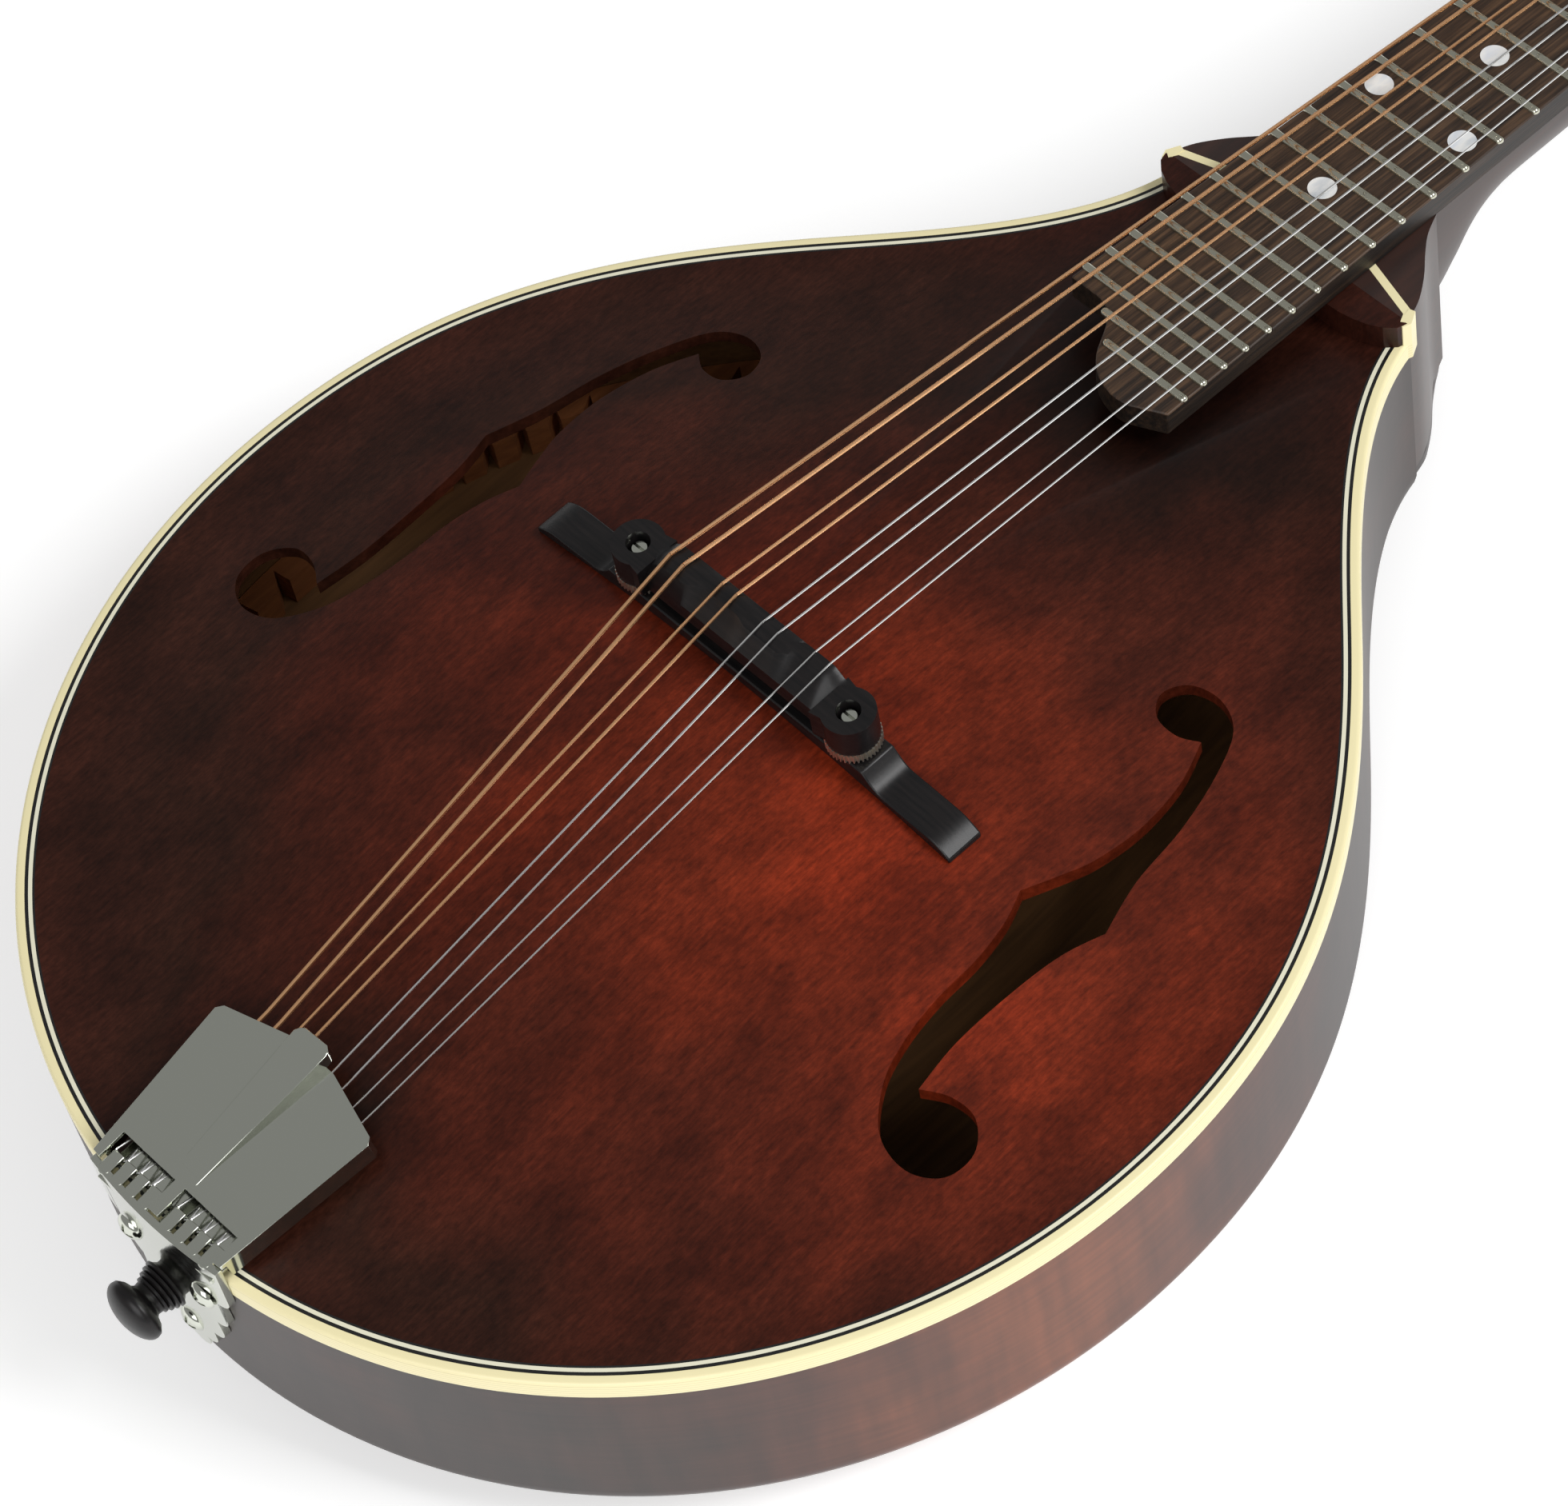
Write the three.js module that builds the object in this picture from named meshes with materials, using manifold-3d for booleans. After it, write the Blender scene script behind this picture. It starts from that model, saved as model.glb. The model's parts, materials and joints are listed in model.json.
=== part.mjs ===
// Archtop mandolin with a teardrop body, as an assembly of its separate pieces.
// Millimetres. In the instrument frame +Y runs from the tail to the head, +X to the treble side
// and +Z out of the top; z = 0 is the edge of the top and y = 0 is where the string length ends.
import * as THREE from 'three';
import { mergeVertices } from 'three/addons/utils/BufferGeometryUtils.js';
import Module from 'manifold-3d';

const wasm = await Module();
wasm.setup();

// ---------------------------------------------------------------- driving sizes
const STRING_LENGTH = 352.4;
const NECK_ANGLE = THREE.MathUtils.degToRad(5.45);
const BOARD_PLANE_Z = 25.6;

const BODY = { halfWidth: 125.7, tailLength: 132, widestY: -26 };
const TAIL_Y = BODY.widestY - BODY.tailLength;
const SHOULDER = { x: 74.4, y: 83.3 };
const NECK_END = { x: 33.4, y: 141 };
const BODY_DEPTH = 48;
const PLATE = 4.5;
const INNER_BACK = PLATE - BODY_DEPTH;
const TOP_CARVED = 2.8;
const RIB = 2.3;
const BINDING = 2;
const LINING = { width: 5.5, height: 8 };
const TOP_ARCH = 15.2;
const BACK_ARCH = 15;
const BACK_ROUNDING = 2;
const ARCH_CENTRE_Y = -12;
const FLAT_EDGE = 0.95;

const BOARD = { thickness: 6, halfAtNut: 12.9, halfAtEnd: 19.5, endY: 93.4 };
const FRETS = 23;
const FRET = { width: 2, height: 1, sunk: 0.4 };
const NUT = { length: 4.8, height: 1.9 };
const HEAD = { angle: THREE.MathUtils.degToRad(15), thickness: 13, veneer: 2, length: 128 };
const TUNER = { firstY: 30, pitch: 23, postX: 17, wormOffset: 7.85, axisZ: -16.8 };

const BRIDGE = {
  y: -5.5,
  studX: 29,
  studRadius: 1.8,
  footHalf: 57.5,
  footTop: 18.2,
  crestZ: 30.8,
  bossTop: 28.4,
};
const WHEEL = { radius: 5.6, bottom: 18.9, top: 21.1 };
const TAILPIECE = {
  pitch: THREE.MathUtils.degToRad(7.3),
  lift: 0.4,
  coverFrontHalf: 21.8,
  coverRearHalf: 18.2,
};
const PIN_Z = -16.5;

const GAP = 0.3;
const TOUCH = 0.05;
const OUTLINE_STEPS = 26;
// The instrument lies on its arched back and the end of its headstock.
const REST_TILT = THREE.MathUtils.degToRad(1.32);

// ---------------------------------------------------------------- materials
function finish(color, roughness, metalness = 0) {
  return new THREE.MeshStandardMaterial({ color, roughness, metalness });
}

const STAINED_TOP = finish(0x57200f, 0.35);
const STAINED_MAPLE = finish(0x5a2a1a, 0.4);
const RAW_MAPLE = finish(0xc99a63, 0.7);
const RAW_SPRUCE = finish(0xd8b27a, 0.75);
const CREAM = finish(0xe4dcb4, 0.45);
const EBONY = finish(0x17130f, 0.4);
const BOARD_WOOD = finish(0x35241a, 0.55);
const NICKEL = finish(0xb9b9ae, 0.22, 1);
const BRASS = finish(0xb98f4a, 0.35, 1);
const STEEL = finish(0xc8c8c8, 0.3, 1);
const BRONZE = finish(0xb8763c, 0.35, 1);
const BONE = finish(0xeee6cf, 0.5);
const PEARL = finish(0xe9e4d6, 0.3);

// ---------------------------------------------------------------- solid helpers
function toManifold(geometry) {
  const bare = geometry.clone();
  bare.deleteAttribute('normal');
  bare.deleteAttribute('uv');
  const merged = mergeVertices(bare, 1e-4);
  return new wasm.Manifold(new wasm.Mesh({
    numProp: 3,
    vertProperties: new Float32Array(merged.attributes.position.array),
    triVerts: new Uint32Array(merged.index.array),
  }));
}

function toGeometry(manifold) {
  const mesh = manifold.getMesh();
  const geometry = new THREE.BufferGeometry();
  geometry.setAttribute('position', new THREE.BufferAttribute(mesh.vertProperties, 3));
  geometry.setIndex(new THREE.BufferAttribute(mesh.triVerts, 1));
  geometry.computeVertexNormals();
  return geometry;
}

function join(...geometries) {
  return toGeometry(geometries.map(toManifold).reduce((sum, next) => sum.add(next)));
}

function cut(geometry, ...tools) {
  const solids = tools.map(toManifold);
  return toGeometry(solids.reduce((rest, tool) => rest.subtract(tool), toManifold(geometry)));
}

function common(first, second) {
  return toGeometry(toManifold(first).intersect(toManifold(second)));
}

function mirrored(geometry) {
  return toGeometry(toManifold(geometry).mirror([1, 0, 0]));
}

function moved(geometry, x, y, z) {
  return geometry.clone().translate(x, y, z);
}

function box(minimum, maximum) {
  const size = maximum.map((high, axis) => high - minimum[axis]);
  const centre = maximum.map((high, axis) => (high + minimum[axis]) / 2);
  return new THREE.BoxGeometry(...size).translate(...centre);
}

function shapeOf(points) {
  return new THREE.Shape(points.map(([x, y]) => new THREE.Vector2(x, y)));
}

function extruded(shape, depth, curveSegments = 6) {
  return new THREE.ExtrudeGeometry(shape, { depth, bevelEnabled: false, curveSegments });
}

// A prism standing on the XY plane, one lying along X with its outline in YZ, and one along Y.
function prismZ(shape, low, high) {
  return extruded(shape, high - low).translate(0, 0, low);
}

function prismX(shape, low, high) {
  const turn = new THREE.Matrix4().makeBasis(
    new THREE.Vector3(0, 1, 0),
    new THREE.Vector3(0, 0, 1),
    new THREE.Vector3(1, 0, 0),
  );
  return extruded(shape, high - low).applyMatrix4(turn).translate(low, 0, 0);
}

function prismY(shape, low, high) {
  const turn = new THREE.Matrix4().makeBasis(
    new THREE.Vector3(1, 0, 0),
    new THREE.Vector3(0, 0, 1),
    new THREE.Vector3(0, -1, 0),
  );
  return extruded(shape, high - low).applyMatrix4(turn).translate(0, high, 0);
}

// A turned piece about +Y; its profile runs from the low end to the high end, on the axis at both.
function turned(profile, segments) {
  return new THREE.LatheGeometry(profile.map(([radius, y]) => new THREE.Vector2(radius, y)), segments);
}

function rod(radius, low, high, segments = 12) {
  return turned([[0, low], [radius, low], [radius, high], [0, high]], segments);
}

function alongZ(geometry) {
  return geometry.clone().rotateX(Math.PI / 2);
}

function alongX(geometry) {
  return geometry.clone().rotateZ(-Math.PI / 2);
}

// ---------------------------------------------------------------- frames
const object = new THREE.Group();
const instrument = new THREE.Group();
const neckFrame = new THREE.Group();
const headFrame = new THREE.Group();
const tailFrame = new THREE.Group();

function buildFrames() {
  object.add(instrument);
  instrument.rotation.x = REST_TILT;
  neckFrame.position.z = BOARD_PLANE_Z;
  neckFrame.rotation.x = -NECK_ANGLE;
  instrument.add(neckFrame);
  headFrame.position.set(0, STRING_LENGTH + NUT.length + GAP, -BOARD.thickness);
  headFrame.rotation.x = -HEAD.angle;
  neckFrame.add(headFrame);
  tailFrame.position.set(0, TAIL_Y, TAILPIECE.lift);
  tailFrame.rotation.x = TAILPIECE.pitch;
  instrument.add(tailFrame);
  object.updateMatrixWorld(true);
}

function add(frame, name, geometry, material) {
  const mesh = new THREE.Mesh(geometry, material);
  mesh.name = name;
  frame.add(mesh);
}

// Moves geometry drawn in one frame into another, for cuts that cross frames.
function inFrame(geometry, from, to) {
  const change = to.matrixWorld.clone().invert().multiply(from.matrixWorld);
  return geometry.clone().applyMatrix4(change);
}

function pointInInstrument(frame, x, y, z) {
  return instrument.worldToLocal(frame.localToWorld(new THREE.Vector3(x, y, z)));
}

// ---------------------------------------------------------------- body outline and arching
function treblePath() {
  const path = new THREE.Path();
  path.absellipse(0, BODY.widestY, BODY.halfWidth, BODY.tailLength, -Math.PI / 2, 0, false, 0);
  path.bezierCurveTo(BODY.halfWidth, 22.6, 104.6, 52.1, SHOULDER.x, SHOULDER.y);
  path.bezierCurveTo(59.1, 99.1, 37.4, 120.4, NECK_END.x, NECK_END.y);
  return path;
}

const TREBLE_PATH = treblePath();

// Points of the treble half, tail to neck, moved outwards by a distance.
function trebleSide(distance) {
  const points = [];
  for (let i = 0; i <= OUTLINE_STEPS; i += 1) {
    const along = i / OUTLINE_STEPS;
    const point = TREBLE_PATH.getPointAt(along);
    const tangent = TREBLE_PATH.getTangentAt(along);
    const atTail = i === 0;
    const atNeck = i === OUTLINE_STEPS;
    points.push([
      atTail ? 0 : point.x + tangent.y * distance,
      atNeck ? NECK_END.y : point.y - tangent.x * distance,
    ]);
  }
  return points;
}

function mirrorPoints(points) {
  return points.map(([x, y]) => [-x, y]).reverse();
}

function closedOutline(distance) {
  const side = trebleSide(distance);
  const [endX, endY] = side[side.length - 1];
  const neckEdge = [0.5, 0, -0.5].map((share) => [share * endX, endY]);
  return [...side, ...neckEdge, ...mirrorPoints(side.slice(1))];
}

function rise(share) {
  return (1 - Math.min(share / FLAT_EDGE, 1) ** 2) ** 1.5;
}

// A closed plate over the outline, its two faces given by how far out from the middle they are.
function archedPlate(distance, upperOf, lowerOf, rings) {
  const edge = closedOutline(distance);
  const sectors = edge.length;
  const positions = [0, ARCH_CENTRE_Y, upperOf(0), 0, ARCH_CENTRE_Y, lowerOf(0)];
  const place = (ring, sector, lower) => {
    const pair = (ring - 1) * sectors + (sector % sectors);
    return 2 + pair * 2 + (lower ? 1 : 0);
  };
  for (const share of rings) {
    for (const [x, y] of edge) {
      const at = [share * x, ARCH_CENTRE_Y + share * (y - ARCH_CENTRE_Y)];
      positions.push(...at, upperOf(share), ...at, lowerOf(share));
    }
  }
  const faces = [];
  for (let sector = 0; sector < sectors; sector += 1) {
    faces.push(0, place(1, sector, false), place(1, sector + 1, false));
    faces.push(1, place(1, sector + 1, true), place(1, sector, true));
    for (let ring = 1; ring < rings.length; ring += 1) {
      const [a, b] = [place(ring, sector, false), place(ring, sector + 1, false)];
      const [c, d] = [place(ring + 1, sector, false), place(ring + 1, sector + 1, false)];
      faces.push(a, c, d, a, d, b);
      faces.push(a + 1, d + 1, c + 1, a + 1, b + 1, d + 1);
    }
    const last = rings.length;
    const [c, d] = [place(last, sector, false), place(last, sector + 1, false)];
    faces.push(c, c + 1, d + 1, c, d + 1, d);
  }
  const geometry = new THREE.BufferGeometry();
  geometry.setAttribute('position', new THREE.Float32BufferAttribute(positions, 3));
  geometry.setIndex(faces);
  geometry.computeVertexNormals();
  return geometry;
}

const TOP_RINGS = [0.18, 0.36, 0.52, 0.66, 0.78, 0.87, FLAT_EDGE, 1];
const BACK_RINGS = [0.25, 0.5, 0.7, 0.85, FLAT_EDGE, 0.978, 1];

function topSurface(share) {
  return TOP_ARCH * rise(share);
}

// The top is thick at its glued edge and carved thinner inside it.
function topUnderside(share) {
  const thickness = share >= FLAT_EDGE ? PLATE : TOP_CARVED + (PLATE - TOP_CARVED) * rise(share);
  return topSurface(share) - thickness;
}

function topPlateSolid() {
  return archedPlate(-BINDING, topSurface, topUnderside, TOP_RINGS);
}

// Everything under the top's outer face, and everything above its inner face, as cutters.
function underTop() {
  return archedPlate(-BINDING, (share) => topSurface(share) + TOUCH, () => -10, TOP_RINGS);
}

function aboveTopLining() {
  return archedPlate(-BINDING, () => 40, (share) => topUnderside(share) - TOUCH, TOP_RINGS);
}

// ---------------------------------------------------------------- body
const F_HOLE_TIPS = {
  lower: [84.8, -45.3],
  outerNotch: [86.8, 1.2],
  upper: [70.1, 43.8],
  innerNotch: [70.1, -4],
};

function fHoleShape() {
  const through = (points) => points.map(([x, y]) => new THREE.Vector2(x, y));
  const shape = new THREE.Shape();
  shape.moveTo(...F_HOLE_TIPS.lower);
  shape.splineThru(through([[83.3, -34], [83.4, -20], [84.4, -8], F_HOLE_TIPS.outerNotch]));
  shape.splineThru(through([
    [83.2, 13], [81, 27], [77.3, 40], [72.5, 50], [66, 53.4], [59.8, 51.5], [57.6, 46], [60.7, 41.6],
    [66, 41.3], F_HOLE_TIPS.upper,
  ]));
  shape.splineThru(through([[74, 34], [75.8, 22], [75, 11], [73, 4], F_HOLE_TIPS.innerNotch]));
  shape.splineThru(through([
    [72.8, -11], [74.4, -20], [74.8, -30], [76.3, -40], [79.5, -49], [86, -56.5], [94, -58], [100, -54],
    [100.6, -47], [96, -42], [90, -42.2], F_HOLE_TIPS.lower,
  ]));
  return shape;
}

function fHoleCutter() {
  const shape = new THREE.Shape(fHoleShape().getPoints(2));
  return prismZ(shape, -10, 30);
}

function buildTop() {
  const hole = fHoleCutter();
  add(instrument, 'top_plate', cut(topPlateSolid(), hole, mirrored(hole)), STAINED_TOP);
}

function heelButtonShape() {
  const shape = shapeOf([[-26, 139], [26, 139], [19.5, 155]]);
  shape.quadraticCurveTo(11, 172, 0, 172);
  shape.quadraticCurveTo(-11, 172, -19.5, 155);
  return shape;
}

function buildBack() {
  const outerFace = (share) => {
    const rounding = share === 1 ? BACK_ROUNDING : 0;
    return rounding - BODY_DEPTH - BACK_ARCH * rise(share);
  };
  const plate = archedPlate(0, (share) => INNER_BACK - BACK_ARCH * rise(share), outerFace, BACK_RINGS);
  const button = prismZ(heelButtonShape(), -BODY_DEPTH, INNER_BACK);
  add(instrument, 'back_plate', join(plate, button), STAINED_MAPLE);
}

function sideStrip(outer, inner, low, high) {
  return prismZ(shapeOf([...trebleSide(outer), ...trebleSide(inner).reverse()]), low, high);
}

function pinHole() {
  return moved(rod(4.3, TAIL_Y - 5, TAIL_Y + 25), 0, 0, PIN_Z);
}

const TAIL_SCREWS = [[-10.5, -10.3], [10.5, -10.3], [0, -33]];
const NECK_BLOCK_Y = 118;
const TAIL_BLOCK = { half: 28, frontY: -138 };

function screwHoles() {
  return TAIL_SCREWS.map(([x, z]) => moved(rod(1.9, TAIL_Y - 5, TAIL_Y + 14, 8), x, 0, z));
}

function buildSides() {
  const rib = cut(sideStrip(0, -RIB, INNER_BACK, -PLATE), pinHole(), ...screwHoles());
  add(instrument, 'rib_treble', rib, STAINED_MAPLE);
  add(instrument, 'rib_bass', mirrored(rib), STAINED_MAPLE);

  const ends = [
    box([-TAIL_BLOCK.half - 1, TAIL_Y - 5, -60], [TAIL_BLOCK.half + 1, TAIL_BLOCK.frontY + 1, 10]),
    box([-60, NECK_BLOCK_Y - GAP, -60], [60, 150, 10]),
  ];
  for (const [name, bottom] of [['lining_top', -PLATE - LINING.height], ['lining_back', INNER_BACK]]) {
    const strip = sideStrip(-RIB - GAP, -RIB - GAP - LINING.width, bottom, bottom + LINING.height);
    const lining = cut(strip, ...ends);
    add(instrument, `${name}_treble`, lining, RAW_MAPLE);
    add(instrument, `${name}_bass`, mirrored(lining), RAW_MAPLE);
  }
}

function buildBinding() {
  const outer = trebleSide(0);
  const inner = trebleSide(-BINDING).reverse();
  const ring = [...mirrorPoints(outer), ...outer.slice(1), ...inner, ...mirrorPoints(inner).slice(1)];
  add(instrument, 'binding', prismZ(shapeOf(ring), -PLATE, 0), CREAM);
}

const TENON = { half: 9, frontY: 128, lowZ: -40, highZ: -PLATE - 0.5 };

function buildBlocks() {
  const inside = prismZ(shapeOf(closedOutline(-RIB - TOUCH)), INNER_BACK, -PLATE);
  const pocket = box(
    [-TENON.half - GAP, TENON.frontY - GAP, TENON.lowZ - GAP],
    [TENON.half + GAP, NECK_END.y + 5, 5],
  );
  const atNeck = box([-60, NECK_BLOCK_Y, -60], [60, NECK_END.y + 5, 5]);
  add(instrument, 'neck_block', cut(common(inside, atNeck), pocket), RAW_MAPLE);
  const atTail = box([-TAIL_BLOCK.half, TAIL_Y - 5, -60], [TAIL_BLOCK.half, TAIL_BLOCK.frontY, 5]);
  add(instrument, 'tail_block', cut(common(inside, atTail), pinHole(), ...screwHoles()), RAW_MAPLE);
}

function buildToneBars() {
  for (const [name, x] of [['tone_bar_treble', 33], ['tone_bar_bass', -33]]) {
    const bar = cut(box([x - 3, -92, 0.5], [x + 3, 84, 20]), aboveTopLining());
    add(instrument, name, bar, RAW_SPRUCE);
  }
}

// ---------------------------------------------------------------- neck
function boardHalf(y) {
  const share = (STRING_LENGTH - y) / (STRING_LENGTH - BOARD.endY);
  return BOARD.halfAtNut + share * (BOARD.halfAtEnd - BOARD.halfAtNut);
}

function boardShape() {
  const shape = shapeOf([[-boardHalf(STRING_LENGTH), STRING_LENGTH], [-boardHalf(101), 101], [-12.5, 101]]);
  shape.bezierCurveTo(-7, 101, -5, 96, -2.5, 91.5);
  shape.bezierCurveTo(1, 85.5, 8, 83.5, 12.5, 85);
  shape.lineTo(boardHalf(88.5), 88.5);
  shape.lineTo(boardHalf(STRING_LENGTH), STRING_LENGTH);
  return shape;
}

// The last two frets stop short on the bass side, where the board's end is cut away.
const SHORT_FRETS = { 22: -8.6, 23: -2.6 };

function fretBar(number) {
  const y = STRING_LENGTH * 2 ** (-number / 12);
  const half = boardHalf(y) + 0.4;
  const left = SHORT_FRETS[number] ?? -half;
  const section = shapeOf([
    [y - FRET.width / 2, -FRET.sunk],
    [y + FRET.width / 2, -FRET.sunk],
    [y + FRET.width / 5, FRET.height],
    [y - FRET.width / 5, FRET.height],
  ]);
  return prismX(section, left, half);
}

function buildFingerboard() {
  const bars = Array.from({ length: FRETS }, (_, index) => fretBar(index + 1));
  add(neckFrame, 'fingerboard', join(prismZ(boardShape(), -BOARD.thickness, 0), ...bars), BOARD_WOOD);
}

// Half round sections under the fingerboard, deepening and narrowing into the heel.
const NECK_RING = 12;
const HEAD_START_Y = STRING_LENGTH + NUT.length;
const SHAFT_DEPTH = 16.6;
const HEEL_DEPTH = 56;
// How deep the neck is under the fingerboard, from the heel to the head.
const NECK_DEPTHS = [
  [135, HEEL_DEPTH], [168, HEEL_DEPTH], [172, 53.5], [175, 48], [178, 40], [181, 30], [184, 23.5],
  [188, 19.2], [194, 17], [210, SHAFT_DEPTH], [HEAD_START_Y, 14.5],
];

function neckSection([y, depth]) {
  const half = boardHalf(y) - 0.1;
  const towardsHeel = Math.max(0, (depth - SHAFT_DEPTH) / (HEEL_DEPTH - SHAFT_DEPTH));
  const bluntness = 0.8 + 0.3 * towardsHeel;
  const points = [];
  for (let i = 0; i <= NECK_RING; i += 1) {
    const angle = (Math.PI * i) / NECK_RING;
    const across = Math.sign(Math.cos(angle)) * Math.abs(Math.cos(angle)) ** bluntness;
    points.push([half * across, y, -BOARD.thickness - depth * Math.sin(angle) ** bluntness]);
  }
  return points;
}

function lofted(sections) {
  const width = sections[0].length;
  const faces = [];
  for (let row = 0; row + 1 < sections.length; row += 1) {
    for (let i = 0; i < width; i += 1) {
      const [a, b] = [row * width + i, row * width + ((i + 1) % width)];
      faces.push(a, b, b + width, a, b + width, a + width);
    }
  }
  const last = (sections.length - 1) * width;
  for (let i = 1; i + 1 < width; i += 1) {
    faces.push(0, i + 1, i, last, last + i, last + i + 1);
  }
  const geometry = new THREE.BufferGeometry();
  geometry.setAttribute('position', new THREE.Float32BufferAttribute(sections.flat(2), 3));
  geometry.setIndex(faces);
  return geometry;
}

function shoulderShape() {
  const start = [NECK_END.x - 0.6, NECK_END.y + TOUCH];
  const side = [start, [31.6, 144.9], [29.9, 148.2], [26.8, 152.6], [23, 157], [20, 161], [17.6, 166]];
  return shapeOf([...side, ...mirrorPoints(side)]);
}

const RISER_BACK = { edge: [32, 143.6], board: [17.4, 148.1] };

function riserShape(grow) {
  const [edgeX, edgeY] = RISER_BACK.edge;
  const [boardX, boardY] = RISER_BACK.board;
  const shape = shapeOf([[-18, 133.5], [18, 133.5]]);
  shape.bezierCurveTo(23, 133.2, 33.5, 135.5, NECK_END.x + grow, NECK_END.y);
  shape.lineTo(edgeX + grow, edgeY + grow);
  shape.lineTo(boardX, boardY + grow);
  shape.lineTo(-boardX, boardY + grow);
  shape.lineTo(-edgeX - grow, edgeY + grow);
  shape.lineTo(-NECK_END.x - grow, NECK_END.y);
  shape.bezierCurveTo(-33.5, 135.5, -23, 133.2, -18, 133.5);
  return shape;
}

function aboveBoardUnderside() {
  const slab = box([-60, 60, -BOARD.thickness - TOUCH], [60, 240, 60]);
  return inFrame(slab, neckFrame, instrument);
}

const ROD = { radius: 2.4, channelHalf: 2.9, z: -12.5, startY: 153, endY: 366 };

function headOutline() {
  const half = new THREE.Path();
  half.moveTo(13.2, -14);
  half.lineTo(13.4, 3);
  half.bezierCurveTo(15, 13, 27, 14, 30.3, 30);
  half.bezierCurveTo(32.5, 50, 28.6, 80, 29.2, 104);
  half.bezierCurveTo(29.8, 118, 20, 122, 0, HEAD.length);
  return half.getPoints(8).map((point) => [point.x, point.y]);
}

function headShape() {
  const side = headOutline();
  return shapeOf([...side, ...mirrorPoints(side.slice(0, -1))]);
}

function postSpots() {
  const spots = [];
  for (const side of [-1, 1]) {
    for (let row = 0; row < 4; row += 1) {
      spots.push({ side, x: side * TUNER.postX, y: TUNER.firstY + row * TUNER.pitch });
    }
  }
  return spots;
}

const POST_HOLE_RADIUS = 3.3;

function postHoles() {
  return postSpots().map(({ x, y }) => moved(alongZ(rod(POST_HOLE_RADIUS, -30, 30)), x, y, 0));
}

function rodPocket() {
  return box([-5.5, 1.5, -10.3], [5.5, 21, 30]);
}

function headWood() {
  const [back, end] = [-HEAD.thickness, HEAD.length + 5];
  const profile = shapeOf([[0, 0], [-8, back], [end, back], [end, 0]]);
  const blank = common(prismZ(headShape(), -20, 5), prismX(profile, -60, 60));
  return cut(blank, ...postHoles(), rodPocket());
}

function buildNeck() {
  const shaft = inFrame(lofted(NECK_DEPTHS.map(neckSection)), neckFrame, instrument);
  const behindBody = box([-60, NECK_END.y + TOUCH, INNER_BACK + TOUCH], [60, 420, 60]);
  const tenon = box([-TENON.half, TENON.frontY, TENON.lowZ], [TENON.half, NECK_END.y + 8, TENON.highZ]);
  const shoulder = prismZ(shoulderShape(), INNER_BACK + TOUCH, 12);
  const body = cut(
    join(common(shaft, behindBody), shoulder, tenon),
    prismZ(riserShape(TOUCH), 0, 30),
    aboveBoardUnderside(),
  );
  const channel = box(
    [-ROD.channelHalf, ROD.startY - 1, ROD.z - 3],
    [ROD.channelHalf, STRING_LENGTH + NUT.length + 3, -BOARD.thickness + 3],
  );
  const neck = cut(
    join(inFrame(body, instrument, neckFrame), inFrame(headWood(), headFrame, neckFrame)),
    channel,
    inFrame(rodPocket(), headFrame, neckFrame),
  );
  add(neckFrame, 'neck', neck, STAINED_MAPLE);

  const riser = cut(prismZ(riserShape(0), TOUCH, 12), underTop(), aboveBoardUnderside());
  add(instrument, 'fingerboard_riser', riser, STAINED_TOP);
}

function buildHead() {
  const veneer = prismZ(headShape(), TOUCH, HEAD.veneer);
  const front = box([-60, 0.2, -5], [60, HEAD.length + 5, 10]);
  add(headFrame, 'headstock_veneer', cut(common(veneer, front), ...postHoles(), rodPocket()), EBONY);

  const cover = shapeOf([[-7, 1.2], [7, 1.2], [9.5, 17]]);
  cover.quadraticCurveTo(8, 25, 0, 30);
  cover.quadraticCurveTo(-8, 25, -9.5, 17);
  add(headFrame, 'truss_rod_cover', prismZ(cover, HEAD.veneer + TOUCH, HEAD.veneer + 2), EBONY);
}

function buildTrussRod() {
  add(neckFrame, 'truss_rod', moved(rod(ROD.radius, ROD.startY, ROD.endY), 0, 0, ROD.z), STEEL);
  const bore = rod(ROD.radius + GAP, ROD.endY - 9, ROD.endY + 9);
  const nut = cut(rod(3.7, ROD.endY - 5, ROD.endY + 3, 6), bore);
  add(neckFrame, 'truss_rod_nut', moved(nut, 0, 0, ROD.z), BRASS);
}

// ---------------------------------------------------------------- strings
// Tail to head: where each string is hooked, leaves the cover, crosses the saddle and the nut.
const STRINGS = [
  { radius: 0.5, hook: -14.4, lip: -14.6, crest: -20.3, crestY: -4.5, nut: -10.9, material: BRONZE },
  { radius: 0.5, hook: -10.7, lip: -11.0, crest: -16.6, crestY: -4.5, nut: -8.3, material: BRONZE },
  { radius: 0.33, hook: -7.0, lip: -7.1, crest: -8.0, crestY: -2.5, nut: -4.5, material: BRONZE },
  { radius: 0.33, hook: -3.3, lip: -3.6, crest: -4.1, crestY: -2.5, nut: -2.0, material: BRONZE },
  { radius: 0.22, hook: 3.3, lip: 4.2, crest: 4.1, crestY: -3.5, nut: 2.1, material: STEEL },
  { radius: 0.22, hook: 7.0, lip: 8.2, crest: 8.1, crestY: -3.5, nut: 4.6, material: STEEL },
  { radius: 0.18, hook: 10.7, lip: 12.6, crest: 16.4, crestY: -1.5, nut: 8.5, material: STEEL },
  { radius: 0.18, hook: 14.4, lip: 16.2, crest: 20.4, crestY: -1.5, nut: 11.0, material: STEEL },
];
// The post each string winds on, by its side and its row counted from the nut.
const STRING_POSTS = [[-1, 0], [-1, 1], [-1, 2], [-1, 3], [1, 3], [1, 2], [1, 1], [1, 0]];
const HOOK = { y: -152.3, z: 3.6 };
const LIP = { y: -116.5, z: 9.3 };
const NUT_STRING_Z = 1.2;
const POST = { radius: 2.9, waist: 2.4, stringZ: 9.5 };

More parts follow.
